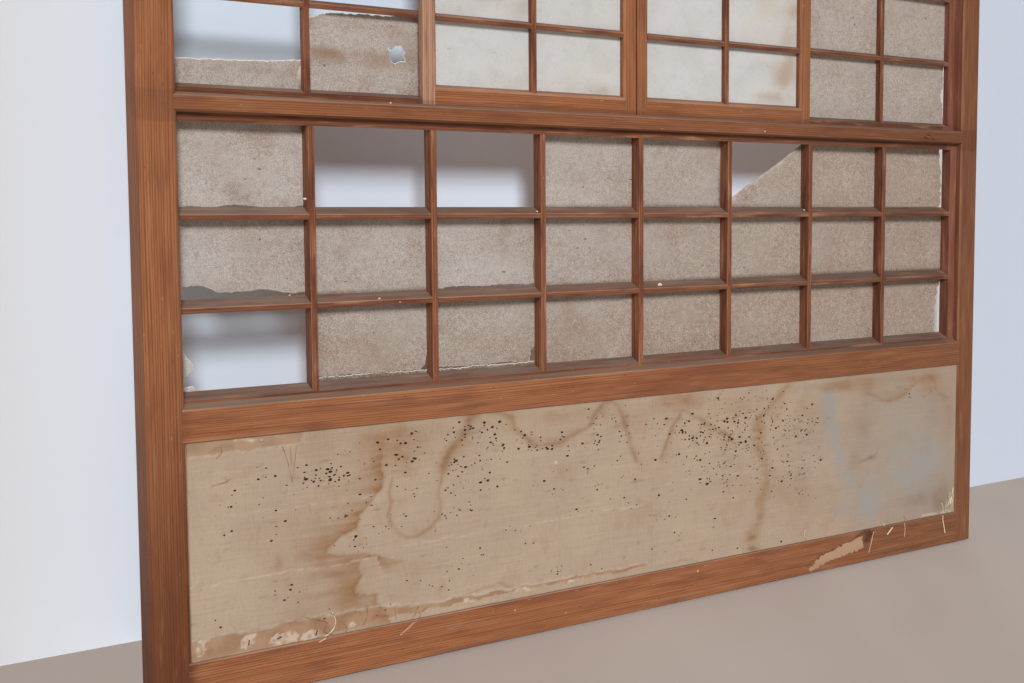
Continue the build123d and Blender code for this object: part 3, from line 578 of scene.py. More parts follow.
class ScreenWood(bpy.types.PropertyGroup):
    frame_colour: colour_property("Frame", "Early wood of the stiles and rails", 168, 108, 70)
    frame_lines: colour_property("Frame lines", "Late wood of the stiles and rails", 106, 62, 40)
    lattice_colour: colour_property("Lattice", "Early wood of the lattice", 148, 92, 64)
    lattice_lines: colour_property("Lattice lines", "Late wood of the lattice", 92, 52, 40)
    dust_colour: colour_property("Dust", "Dust on ledges and on top of the bars", 122, 106, 96)
    board_colour: colour_property("Board", "Bare back of the wainscot", 190, 158, 120)


class ScreenPaper(bpy.types.PropertyGroup):
    old_grey: colour_property("Old paper", "Greyed paper of the lattice", 182, 173, 166)
    old_brown: colour_property("Browned paper", "Paper at the right of the lattice", 166, 149, 136)
    new_colour: colour_property("Newer paper", "Whiter paper of the small screens", 211, 213, 213)
    new_stain: colour_property("Newer paper's stain", "Yellowed parts of the small screens' paper", 206, 197, 182)
    ripple: length_property("Ripple", "How far the paper wanders between the bars", 0.7)


class ScreenWainscot(bpy.types.PropertyGroup):
    facing_colour: colour_property("Facing", "Clean parts of the wainscot's facing", 180, 160, 140)
    stain_colour: colour_property("Stain", "Brown water stains", 150, 112, 78)
    tide_colour: colour_property("Tide line", "Dark edge of a water stain", 142, 102, 70)
    grey_colour: colour_property("Grey bloom", "Blue-grey bloom at the right", 156, 156, 154)
    mould_colour: colour_property("Mould", "Mould spots", 56, 40, 28)
    cell: length_property("Cell", "Size of the facing's mesh cells", 1.5)
    mould_count: IntProperty(name="Small mould spots", description="Number of the smallest mould spots",
                             default=380, min=0)


class ScreenStudio(bpy.types.PropertyGroup):
    wall_colour: colour_property("Wall", "Pale wall behind the screen", 232, 239, 250)
    floor_colour: colour_property("Floor", "Plain pale floor", 172, 161, 154)
    wall_gap: length_property("Wall's distance", "From the screen's paper side to the wall", 55)
    key_strength: FloatProperty(name="Key light", description="Strength of the soft main light", default=2.95,
                                min=0)
    key_softness: FloatProperty(name="Softness", description="Angle over which the main light spreads",
                                default=math.radians(11), min=0, subtype="ANGLE", unit="ROTATION")
    ambient: FloatProperty(name="Ambient", description="Brightness of the light from all round", default=0.27,
                           min=0)


# Operators, each after the tables that it uses


BARE, TORN_EDGE_AND_SHADOW, KNOT = shade(180, 146, 120), shade(112, 74, 52), shade(74, 44, 32)
STRAW, SCUFFED = shade(228, 212, 188), shade(150, 112, 92)
# Colour, whether the outline is torn, and courses: X and Z of both ends, both half widths and an amount
RAIL_MARKS = [
    # A dark torn edge round the bare scar, set higher than it: partly the edge's own colour, partly painted shadow
    # under the scar's upper rim.
    (TORN_EDGE_AND_SHADOW, True, [
        (641, 7.5, 660, 16.8, 3.4, 5.4, 0.9), (656, 16.0, 722, 27.8, 5.2, 8.6, 0.9),
    ]),
    (BARE, True, [
        (641, 6.5, 660, 14.8, 2.6, 4.4, 1.0), (656, 14.8, 716, 26.0, 4.2, 7.4, 1.0),
    ]),
    (KNOT, True, [
        (722, 24, 727, 38, 4.6, 4.6, 0.85), (724, 33, 733, 31, 2.6, 3.0, 0.8), (704, 33.5, 722, 38, 1.4, 2.4, 0.7),
    ]),
    (STRAW, False, [
        (752, 28.6, 760, 36, 0.9, 0.8, 1.0), (725, 12, 728, 22, 0.4, 0.4, 0.8), (728, 22, 732, 36, 0.4, 0.4, 0.8),
        (838, 38, 838, 33, 0.5, 0.5, 1.0), (838, 33, 842, 16, 0.5, 0.6, 1.0), (778, 38, 779, 30, 0.35, 0.35, 0.8),
        (779, 30, 778, 22, 0.35, 0.35, 0.8), (498, 31, 499.5, 31, 0.8, 0.8, 1.0), (300, 29, 301.2, 29, 0.6, 0.6, 0.9),
        (125.5, 36.2, 131, 38.2, 0.4, 0.4, 0.8), (206, 37, 194, 27.6, 0.32, 0.32, 0.6),
        (209, 38, 200, 31, 0.25, 0.25, 0.4), (577.2, 484.3, 578.4, 484.3, 0.7, 0.7, 1.0),
    ]),
    (SCUFFED, True, [
        (236, 24, 248, 27, 2.2, 2.8, 0.5),
    ]),
    (KNOT, False, [
        (797, 486, 806, 483.8, 1.0, 0.7, 0.9), (801, 489.2, 808, 487.8, 0.7, 0.7, 0.8),
        (808, 485, 816, 483.2, 0.8, 0.6, 0.9),
    ]),
]


LYING_LATTICE_TONE = 0.86


def grain_axis(node):
    """The axis along which a wooden node's growth lines run."""
    for prefix in ("left_screen_", "right_screen_", "left_side_", "right_side_"):
        node = node.replace(prefix, "")
    if "crossbar" in node or "rail" in node:
        return "X"
    return "Z" if any(word in node for word in ("stile", "upright", "post", "_left", "_right", "outer")) else "X"


class SCREEN_OT_dress_wood(bpy.types.Operator):
    """Gives every wooden node its material, with the grain along the piece"""
    bl_idname = "screen.dress_wood"
    bl_label = "Dress the wood"

    def execute(self, context):
        look = context.scene.screen_wood
        dust = opaque(look.dust_colour)
        kinds = {
            "frame_wood": (look.frame_colour, look.frame_lines, 1.0, 0.22),
            "lattice_wood": (look.lattice_colour, look.lattice_lines, 1.0, 0.60),
            "screen_frame_wood": (look.frame_colour, look.frame_lines, 0.8, 0.22),
            "board_wood": (look.board_colour, look.frame_colour, 0.3, 0.22),
        }
        pale = wood_material("pale_post_wood", "Z", shade(196, 154, 128), shade(146, 98, 76), dust)
        scarred = wood_material("scarred_rail_wood", "X", opaque(look.frame_colour), opaque(look.frame_lines), dust,
                                marks=RAIL_MARKS)
        special = {"window_post_left": pale, "left_screen_outer_stile": pale, "bottom_rail": scarred,
                   "lower_guide_rail": scarred}
        made = {}
        for subpart in frame["record"]["subparts"]:
            name, kind = subpart["node"], subpart["material_slot"]
            if kind not in kinds:
                continue
            grain = grain_axis(name)
            if name not in special and (kind, grain) not in made:
                colour, lines, dust_share, worn = kinds[kind]
                darker = LYING_LATTICE_TONE if kind == "lattice_wood" and grain == "X" else 1.0
                early, late = (opaque(level * darker for level in levels) for levels in (colour, lines))
                made[kind, grain] = wood_material(f"{kind}_along_{grain}", grain, early, late, dust, dust_share,
                                                  worn=worn)
            node = frame["nodes"][name]
            if not node.data.materials:
                node.data.materials.append(None)
            for slot in node.material_slots:
                slot.link = "OBJECT"
                slot.material = special.get(name) or made[kind, grain]
        return {"FINISHED"}


# The fold of the torn sheet in the sixth pane, from the pane's corner
FOLD = [(101.0, 70.1), (95.9, 66.3), (68.9, 47.7), (50.0, 36.3), (31.4, 25.2), (11.3, 11.0), (-2.4, 2.8)]
CUT_CLEARANCE = 0.1
REMAINS_BEHIND = 0.3


class SCREEN_OT_hang_lattice_paper(bpy.types.Operator):
    """Pastes the old paper on the back of the lattices, with its tears"""
    bl_idname = "screen.hang_lattice_paper"
    bl_label = "Hang the lattice's paper"
    STAINS = [(148, 525, 20, 5, 0.60), (185, 520, 34, 5, 0.50), (215, 542, 14, 9, 0.30), (160, 553, 36, 4, 0.30),
              (200, 563, 24, 3, 0.45), (80, 509, 60, 4, 0.45), (185, 527, 46, 4, 0.45)]

    def execute(self, context):
        look = context.scene.screen_paper
        ripple = look.ripple / MM
        old = paper_material("old_paper_look", opaque(look.old_grey), opaque(look.old_brown))
        for hang in (self.hang_lower, self.hang_left_side, self.hang_right_side, self.hang_top):
            hang(old, ripple)
        return {"FINISHED"}

    def hang_lower(self, material, ripple):
        rows = row_bars(LOWER_SILL, LOWER_ROWS, LOWER_HEAD)
        (low_1, high_1), (low_2, high_2), (low_3, high_3) = (
            row_span(LOWER_SILL, row, LOWER_ROWS, LOWER_HEAD) for row in range(LOWER_ROWS))
        loose = pane_left(3) - UPRIGHT_WIDTH - CUT_CLEARANCE
        sheets = [
            # Lowest row
            cut((seam(1), high_1), (seam(1), LOWER_SILL + 4)) + torn(LOWER_SILL, 0, 1, [
                (4, 3.6), (30, 4.2), (60, 3.2), (92, 3.4), (96, 7), (97.6, 15), (99, 25),
            ]) + torn(LOWER_SILL, 0, 2, [
                (-1.5, 22), (-1, 4.4), (30, 3.2), (70, 3.9), (92.8, 2.8), (94.2, 14), (99, 17), (100, -4),
            ]) + torn(LOWER_SILL, 0, 7, [
                (90, -5), (91.4, 2), (89.6, 5), (91.0, 8.5), (88.6, 12.5), (90.3, 16), (88.7, 21), (91.0, 26.5),
                (89.8, 31), (92.6, 37), (91.2, 41.5), (94.3, 47), (93.6, 52), (96.8, 57), (98, 61),
            ]) + cut((PAPER_RIGHT, LOWER_SILL + 63), (PAPER_RIGHT, high_1)),
            cut((PAPER_LEFT, LOWER_SILL + 10)) + torn(LOWER_SILL, 0, 0, [
                (0, 10.5), (6.4, 12), (10.4, 16.2), (11.4, 21.2), (7.5, 27), (4.4, 32.2), (0, 35),
            ]) + cut((PAPER_LEFT, LOWER_SILL + 37)),
            cut((PAPER_LEFT, low_1)) + torn(LOWER_SILL, 0, 0, [
                (12, -5), (12.6, 2), (10.4, 4.2), (5, 3.2), (0, 5),
            ]) + cut((PAPER_LEFT, LOWER_SILL + 5)),
            # Middle row
            torn(LOWER_SILL, 1, 0, [
                (-5, 10), (4.4, 10.3), (12.4, 10.8), (20.4, 10.3), (25.4, 7.8), (30.4, 4.8), (55.4, 4.8),
                (62.4, 6.3), (70.4, 5.3), (78.4, 3.3), (86.4, 1.8), (98.4, 2.6),
            ]) + cut((seam(1), low_2), (seam(2), low_2)) + torn(LOWER_SILL, 1, 2, [
                (4, 0.4), (19.6, 2.3), (50, 1.6), (75, 2.6), (93, 1.4),
            ]) + [
                (loose, LOWER_SILL + ROW_PITCH + 3, 1), (loose - 1.2, LOWER_SILL + ROW_PITCH + 16, 1),
                (loose, LOWER_SILL + ROW_PITCH + 30, 1), (loose, high_2 - 7, 1),
            ] + cut((seam(3, -1), high_2), (PAPER_LEFT, high_2)),
            cut((seam(3, 1), low_2), (PAPER_RIGHT, low_2), (PAPER_RIGHT, high_2), (seam(3, 1), high_2)),
            # Upper row
            torn(LOWER_SILL, 2, 0, [
                (-5, -1.5), (12, 0.6), (26, -0.8), (44, 1.8), (60, 0.2), (80, -1.5), (100, 1.2),
            ]) + cut((seam(1), high_3), (PAPER_LEFT, high_3)),
            cut((seam(3), low_3), (seam(5, -1), low_3), (seam(5, -1), high_3), (seam(3), high_3)),
            cut((seam(5, 1), low_3)) + torn(LOWER_SILL, 2, 7, [
                (94, -2.35), (95, 2.5), (97.0, 6), (95.8, 11), (97.6, 15.5), (96.0, 20), (97.6, 25), (96.2, 30.5),
                (95.4, 36), (97.1, 41), (95.8, 48), (93.9, 52), (93.2, 57), (94.6, 61.5), (92.6, 66), (94, 71),
                (95, 78.5),
            ]) + cut((seam(6), high_3)) + torn(LOWER_SILL, 2, 5, FOLD, 0),
        ]
        remains = torn(LOWER_SILL, 0, 1, [
            (-2, 2.2), (12, 3.4), (30, 2.8), (55, 3.6), (80, 2.4), (99, 3.0),
        ]) + torn(LOWER_SILL, 0, 2, [
            (-1, 2.8), (20, 1.8), (45, 2.9), (70, 2.2), (99, 2.6),
        ]) + cut((seam(3), low_1), (seam(1), low_1))
        dusty = paper_material("dusty_remains_look", shade(128, 110, 98), shade(116, 98, 86))
        paper_piece("lower_paper_remains", [[remains]], None, lambda x, z: PAPER_DEPTH + REMAINS_BEHIND, dusty,
                    seed=15)
        paper_piece("lower_paper_sheets", [[sheet] for sheet in sheets], "lower_paper",
                    hung_on(COLUMN_BARS, rows, ripple, 1.5), material, seed=11)

    def hang_left_side(self, material, ripple):
        rows = row_bars(WINDOW_SILL, WINDOW_ROWS, WINDOW_HEAD)
        low = WINDOW_SILL - PAPER_LAP
        left = LEFT_POST - CUT_CLEARANCE
        row_3 = row_span(WINDOW_SILL, 2, WINDOW_ROWS, WINDOW_HEAD)[0]
        top = WINDOW_HEAD + PAPER_LAP
        hole = torn(WINDOW_SILL, 0, 1, [
            (67, 39.7), (70.5, 38.7), (73.5, 42.2), (78.5, 42.2), (81.5, 37.2), (80.5, 34.2), (82, 29.2),
            (76.5, 28.7), (73.5, 26.7), (70.5, 28.2), (68.5, 32.2), (69.5, 36.2),
        ])
        sheets = [
            [cut((PAPER_LEFT, low), (seam(1, -1), low)) + torn(WINDOW_SILL, 0, 0, [
                (100.3, 24.8), (95.4, 24.2), (70.4, 21.7), (30.4, 20.2), (-5, 19.3),
            ])],
            [cut((seam(1, 1), low), (left, low), (left, POST_FOOT), (POST_PAPER_LEFT, POST_FOOT),
                 (POST_PAPER_LEFT, WINDOW_SILL + 68)) + torn(WINDOW_SILL, 0, 1, [
                     (93.5, 67.2), (81.5, 68.7), (75.5, 67.7), (67.5, 66.7), (27.5, 65.7), (17.5, 64.7),
                     (10.5, 63.2), (3.5, 60.7), (-2.4, 58),
                 ]), hole],
            [cut((PAPER_LEFT, row_3), (POST_PAPER_LEFT, row_3), (POST_PAPER_LEFT, top), (PAPER_LEFT, top))],
        ]
        paper_piece("left_side_paper_sheets", sheets, "left_side_paper",
                    hung_on(COLUMN_BARS + [LEFT_POST_BAR], rows, ripple, 4.5), material, seed=12,
                    stains=self.STAINS)

    def hang_right_side(self, material, ripple):
        rows = row_bars(WINDOW_SILL, WINDOW_ROWS, WINDOW_HEAD)
        low = WINDOW_SILL - PAPER_LAP
        top = WINDOW_HEAD + PAPER_LAP
        right = RIGHT_POST + POST_WIDTH + CUT_CLEARANCE
        sheet = cut((POST_PAPER_RIGHT, POST_FOOT), (right, POST_FOOT), (right, low), (PAPER_RIGHT, low),
                    (PAPER_RIGHT, WINDOW_SILL + 7)) + torn(WINDOW_SILL, 0, 7, [
                        (97.2, 9), (97, 24), (94.5, 29), (93.1, 34), (94, 38.5), (97.4, 42), (97.2, 66),
                    ]) + cut((PAPER_RIGHT, WINDOW_SILL + 68), (PAPER_RIGHT, top), (POST_PAPER_RIGHT, top))
        paper_piece("right_side_paper_sheet", [[sheet]], "right_side_paper",
                    hung_on(COLUMN_BARS + [RIGHT_POST_BAR], rows, ripple, 7.5), material, seed=13)

    def hang_top(self, material, ripple):
        rows = row_bars(TOP_SILL, TOP_ROWS, TOP_HEAD)
        low, high = TOP_SILL - PAPER_LAP, TOP_HEAD + PAPER_LAP
        sheet = cut((PAPER_LEFT, low), (PAPER_RIGHT, low), (PAPER_RIGHT, high), (PAPER_LEFT, high))
        paper_piece("top_paper_sheet", [[sheet]], "top_paper", hung_on(COLUMN_BARS, rows, ripple, 9.5), material,
                    spacing=8, seed=14)


class SCREEN_OT_hang_small_paper(bpy.types.Operator):
    """Pastes the whiter, wrinkled paper in the pair of small screens"""
    bl_idname = "screen.hang_small_paper"
    bl_label = "Hang the small screens' paper"
    RIPPLE = 1.2
    STAINS = [(305, 584, 26, 9, 0.5), (397, 511, 16, 6, 0.5), (624, 600, 14, 26, 0.60), (618, 560, 12, 20, 0.5),
              (610, 532, 16, 20, 0.60), (590, 516, 26, 5, 0.40), (500, 568, 10, 14, 0.25), (508, 524, 14, 6, 0.2),
              (250, 575, 12, 20, 0.2), (380, 700, 30, 16, 0.3), (560, 780, 24, 30, 0.3), (280, 850, 30, 14, 0.3)]

    def execute(self, context):
        look = context.scene.screen_paper
        material = paper_material("white_paper_look", opaque(look.new_colour), opaque(look.new_stain), False)
        for side, seed in (("left", 2.5), ("right", 6.5)):
            low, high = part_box(f"{side}_screen_paper")
            left, right = low.x / MM - LEFT_EDGE, high.x / MM - LEFT_EDGE
            bottom, top = low.z / MM, high.z / MM
            upright_low, upright_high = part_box(f"{side}_screen_upright")
            middle = (upright_low.x + upright_high.x) / 2 / MM - LEFT_EDGE
            columns = [left + STRIP_MIDDLE, middle, right - STRIP_MIDDLE]
            crossbars = row_bars(WINDOW_SILL, WINDOW_ROWS, WINDOW_HEAD)[1:-1]
            rows = [bottom + STRIP_MIDDLE, top - STRIP_MIDDLE, *crossbars]
            shape = hung_on(columns, rows, self.RIPPLE, seed, low.y / MM - FRONT)
            sheet = cut((left, bottom), (right, bottom), (right, top), (left, top))
            paper_piece(f"{side}_screen_paper_sheet", [[sheet]], f"{side}_screen_paper", shape, material,
                        f"{side}_screen", spacing=4, seed=21, stains=self.STAINS)
        return {"FINISHED"}


class StainedSheet:
    """A fine grid over one sheet of the wainscot's facing, with a strength of each stain at every point."""

    KINDS = ("brown", "tide", "grey", "bare", "pale", "dark")
    WANDER = ((13, 0.7, 2.2), (4, 5.7, 0.8))
    BEHIND, WAVE, SUNK = 0.08, 0.06, 0.12

    def __init__(self, left, right, bottom, top, cell):
        self.left, self.bottom = left, bottom
        self.columns = max(2, round((right - left) / cell))
        self.rows = max(2, round((top - bottom) / cell))
        self.step_x = (right - left) / self.columns
        self.step_z = (top - bottom) / self.rows
        self.values = {kind: [0.0] * ((self.columns + 1) * (self.rows + 1)) for kind in self.KINDS}
        self.spots = []
        for row in range(self.rows + 1):
            for column in range(self.columns + 1):
                x, z = left + column * self.step_x, bottom + row * self.step_z
                wander = Vector()
                for wave, layer, reach in self.WANDER:
                    wander += noise.noise_vector(Vector((x / wave, z / wave, layer))) * reach
                self.spots.append((x + wander.x, z + wander.y))

    def around(self, low_x, high_x, low_z, high_z, margin):
        """Indices of the grid points in a box."""
        first = max(0, int((low_x - margin - self.left) / self.step_x))
        last = min(self.columns, int((high_x + margin - self.left) / self.step_x) + 1)
        bottom = max(0, int((low_z - margin - self.bottom) / self.step_z))
        top = min(self.rows, int((high_z + margin - self.bottom) / self.step_z) + 1)
        for row in range(bottom, top + 1):
            for column in range(first, last + 1):
                yield row * (self.columns + 1) + column

    def raise_to(self, kind, index, amount):
        values = self.values[kind]
        values[index] = max(values[index], min(1.0, amount))

    def blob(self, kind, x, z, reach_x, reach_z, amount):
        for index in self.around(x - reach_x * 2, x + reach_x * 2, z - reach_z * 2, z + reach_z * 2, 0):
            spot_x, spot_z = self.spots[index]
            far = ((spot_x - x) / reach_x) ** 2 + ((spot_z - z) / reach_z) ** 2
            self.raise_to(kind, index, amount * math.exp(-far))

    def stroke(self, kind, points, width, amount, fade=0.0, fade_amount=0.5):
        """A line along points. With fade it also fades away from the side on the line's left."""
        reach = max(width * 2.5, abs(fade) * 4)
        xs, zs = [p[0] for p in points], [p[1] for p in points]
        for index in self.around(min(xs), max(xs), min(zs), max(zs), reach):
            x, z = self.spots[index]
            best, side = 1e9, 1
            for (x0, z0), (x1, z1) in zip(points, points[1:]):
                run_x, run_z = x1 - x0, z1 - z0
                share = ((x - x0) * run_x + (z - z0) * run_z) / (run_x * run_x + run_z * run_z)
                share = max(0.0, min(1.0, share))
                away_x, away_z = x - x0 - run_x * share, z - z0 - run_z * share
                far = math.hypot(away_x, away_z)
                if far < best:
                    best = far
                    side = 1 if run_x * away_z - run_z * away_x > 0 else -1
            self.raise_to(kind, index, amount * math.exp(-(best / width) ** 2))
            if fade and side * fade > 0:
                self.raise_to("brown", index, fade_amount * math.exp(-best / abs(fade)))

    def fill(self, kind, points, amount):
        xs, zs = [p[0] for p in points], [p[1] for p in points]
        for index in self.around(min(xs), max(xs), min(zs), max(zs), 2):
            x, z = self.spots[index]
            if inside(x, z, points):
                self.raise_to(kind, index, amount)

    def piece(self, name, depth, thickness, material):
        """The closed sheet, with a plain back."""
        across = self.columns + 1
        vertices = []
        for row in range(self.rows + 1):
            for column in range(across):
                x, z = self.left + column * self.step_x, self.bottom + row * self.step_z
                bump = noise.noise(Vector((x / 60, z / 25, 2.2))) * self.WAVE
                bump += self.values["bare"][row * across + column] * self.SUNK
                vertices.append(place(x, depth + self.BEHIND + bump, z))
        rim = list(range(across))
        rim += [row * across + self.columns for row in range(1, self.rows + 1)]
        rim += [self.rows * across + column for column in range(self.columns - 1, -1, -1)]
        rim += [row * across for row in range(self.rows - 1, 0, -1)]
        first = len(vertices)
        backs = {}
        for index in rim:
            row, column = divmod(index, across)
            backs[row, column] = len(vertices)
            vertices.append(place(self.left + column * self.step_x, depth + thickness,
                                  self.bottom + row * self.step_z))
        faces = []
        for row in range(self.rows):
            for column in range(self.columns):
                a = row * across + column
                faces.append((a, a + 1, a + across + 1, a + across))
        for index in range(len(rim)):
            after = (index + 1) % len(rim)
            faces.append((rim[after], rim[index], first + index, first + after))
        for column in range(self.columns):
            loop = [backs[0, column + 1], backs[0, column]]
            if column == 0:
                loop += [backs[row, 0] for row in range(1, self.rows)]
            loop += [backs[self.rows, column], backs[self.rows, column + 1]]
            if column == self.columns - 1:
                loop += [backs[row, self.columns] for row in range(self.rows - 1, 0, -1)]
            faces.append(tuple(loop))
        values = {kind: numbers + [0.0] * len(rim) for kind, numbers in self.values.items()}
        return mesh_piece(name, vertices, faces, [material], values=values)


BROWN_EDGE = [(183, 199), (181, 177), (180, 159.5), (172.5, 149.5), (161, 139.5), (157.5, 128), (145, 124.5),
              (141, 120.7), (132.5, 114.5), (135, 110.7), (150, 106.5), (165, 104.5), (176, 101.5), (161, 99),
              (159, 94.5), (160, 89.5), (163, 87), (160, 82), (156, 77), (155.5, 72.5), (167.5, 69.5), (175, 67),
              (174, 61), (177, 56), (181, 49.5)]
DROP_ARM = [(265, 217), (260, 211), (255, 203), (247.5, 193), (240, 183), (234.5, 174.5)]
DROP_BOWL = [(234.5, 174.5), (232.5, 162), (231, 147), (232.5, 134.5), (230, 126), (225, 119), (217.5, 114.5),
             (210, 113), (200, 115), (192.5, 120.7), (187.5, 128), (185, 137), (187.5, 147), (187.5, 157),
             (189, 167)]
ARC = [(277.5, 217), (290, 216), (299, 209.5), (302.5, 200.7), (312.5, 189.5), (320, 183), (332.5, 180.7),
       (347.5, 180.7), (357.5, 184.5), (370, 190.7), (379, 195.7), (385, 207), (392.5, 214.5), (402.5, 215.7),
       (410, 210.7), (412.5, 199.5), (415, 189.5), (420, 179.5), (422.5, 167), (427.5, 153)]
PEAK_LEFT = [(481, 199.5), (477.5, 195.7), (470, 184.5), (464, 174.5), (459, 162), (455, 152)]
PEAK_RIGHT = [(481, 199.5), (490, 195.7), (500, 189.5), (510, 183), (520, 177.5), (530, 172), (540, 165.7)]
DRIP = [(612, 214.5), (600, 203), (590, 195.7), (582.5, 188), (572.5, 180.7)]
DRIP_TAIL = [(572, 178), (573, 160), (576, 145), (582, 130), (583, 112), (581, 100), (576, 89.5), (575, 72),
             (567.5, 62), (562.5, 52), (567.5, 43)]
RIGHT_EDGE = [(720, 195), (740, 185.7), (760, 183), (775, 187), (785, 194.5), (797, 203), (810, 207), (820, 203),
              (827.5, 184.5), (840, 178)]
FOOT_ARCHES = [[(240, 48), (260, 52), (270, 55), (287, 56), (300, 50), (305, 46)],
               [(450, 42), (480, 45), (500, 41)]]
BARE_STRIP = [(28, 38), (28, 55.5), (60, 55), (95, 57), (130, 55.5), (165, 56), (200, 51), (240, 49.5), (300, 49),
              (380, 48.5), (440, 48), (440, 45.5), (330, 46), (240, 45.5), (190, 44), (120, 40), (60, 38)]
SCUFF = [(28, 205), (40, 207), (62, 206.4), (80, 206.5), (96, 208.5), (114, 209), (116, 217.5), (28, 217.5)]
PALE_SCRAPS = [
    [(31, 44), (37, 43), (40, 48), (37, 52), (40, 55), (33, 56), (31, 50)],
    [(65, 43), (69, 41), (75, 44), (73, 49), (75, 53), (69, 55), (66, 51)],
    [(86, 41), (93, 39), (101, 41), (108, 40), (109, 45), (104, 49), (98, 48), (92, 50), (87, 46)],
    [(111, 39), (117, 37), (126, 39), (127, 44), (121, 48), (113, 46)],
    [(150, 44), (156, 43), (158, 46), (152, 48)], [(252, 45), (262, 45), (262, 47.5), (254, 48)],
    [(300, 45), (322, 45), (322, 47.5), (302, 47.5)], [(352, 45), (372, 45), (372, 47), (356, 47)],
]
# Kind, points, half width, amount, and for some the reach and amount of the brown that fades from one side
STAIN_STROKES = [
    ("tide", BROWN_EDGE, 1.3, 0.40, -17, 0.95), ("tide", DROP_ARM, 3.4, 0.62), ("brown", DROP_ARM, 7.5, 0.45),
    ("tide", DROP_BOWL, 1.8, 0.42, -5, 0.25), ("tide", ARC, 2.4, 0.46, 9, 0.40),
    ("tide", PEAK_LEFT, 2.4, 0.50, 9, 0.40), ("tide", PEAK_RIGHT, 2.3, 0.46, -9, 0.35),
    ("tide", DRIP, 2.2, 0.20, 9, 0.45), ("brown", DRIP, 6.0, 0.45), ("brown", DRIP_TAIL, 6.0, 0.55),
    ("tide", RIGHT_EDGE, 2.4, 0.28, 9, 0.45), ("tide", FOOT_ARCHES[0], 1.1, 0.35),
    ("tide", FOOT_ARCHES[1], 1.1, 0.35),
    ("pale", [(25, 100), (90, 101), (170, 99.5)], 0.7, 0.45),
    ("pale", [(200, 106), (320, 108), (440, 109)], 0.7, 0.4),
    ("pale", [(28, 56), (95, 58), (165, 57.5), (240, 50.5), (440, 49)], 0.8, 0.45),
    ("pale", [(60, 154), (180, 156)], 0.7, 0.3), ("pale", [(460, 126), (640, 129)], 0.7, 0.25),
    ("pale", [(28, 205), (46, 207), (80, 206.5), (114, 209)], 0.7, 0.35),
    ("pale", [(64, 215.4), (72, 216.6), (80, 214.4)], 1.1, 0.9),
    ("pale", [(806, 41.5), (830, 40.5), (856, 41.5)], 1.0, 0.9), ("pale", [(854.5, 44), (855, 62)], 1.0, 0.7),
    ("dark", [(445.8, 38), (445.8, 218)], 0.7, 0.1), ("dark", [(45, 210), (54, 212), (62, 210)], 0.8, 0.35),
    ("dark", [(28, 57), (60, 56.4), (95, 58.6), (130, 57)], 0.7, 0.25),
    ("dark", [(708, 117), (722, 119), (736, 125)], 1.2, 0.35),
]
STAIN_FILLS = [("bare", BARE_STRIP, 0.85), ("bare", SCUFF, 0.65)] + [("pale", scrap, 0.7) for scrap in PALE_SCRAPS]
# X, Z, reach along each and amount
STAIN_BLOBS = {
    "brown": [
        (192, 196, 30, 22, 0.75), (172, 176, 16, 14, 0.45), (150, 142, 16, 8, 0.45), (120, 112, 16, 6, 0.6),
        (142, 92, 18, 6, 0.6), (138, 76, 24, 4, 0.55), (150, 62, 22, 5, 0.4), (228, 205, 18, 12, 0.3),
        (477, 209, 28, 11, 0.75), (430, 196, 14, 18, 0.25), (540, 196, 40, 14, 0.3), (574, 166, 9, 18, 0.7),
        (566, 54, 7, 8, 0.95), (695, 208, 44, 6, 0.8), (722, 203, 16, 9, 0.6), (815, 200, 17, 12, 0.7),
        (790, 207, 24, 5, 0.45), (716, 162, 24, 34, 0.24), (704, 118, 9, 14, 0.35), (350, 208, 80, 10, 0.3),
        (300, 205, 18, 8, 0.35), (640, 180, 26, 26, 0.18), (845, 150, 9, 40, 0.25), (96, 110, 4, 7, 0.5),
    ],
    "grey": [
        (668, 185, 12, 26, 0.8), (674, 155, 11, 26, 0.85), (684, 124, 10, 20, 0.8), (700, 104, 12, 20, 0.75),
        (729, 72, 24, 32, 0.8), (745, 112, 24, 20, 0.4), (797, 105, 62, 60, 0.7), (770, 150, 100, 60, 0.4),
        (640, 206, 16, 5, 0.5), (690, 70, 18, 16, 0.35),
    ],
    "dark": [
        (838, 58, 18, 14, 0.42), (800, 62, 30, 10, 0.22), (728, 121, 6, 2.5, 0.5), (567, 41, 8, 3, 0.6),
    ],
    "pale": [
        (343, 164, 1.5, 1.5, 1.0),
    ],
}
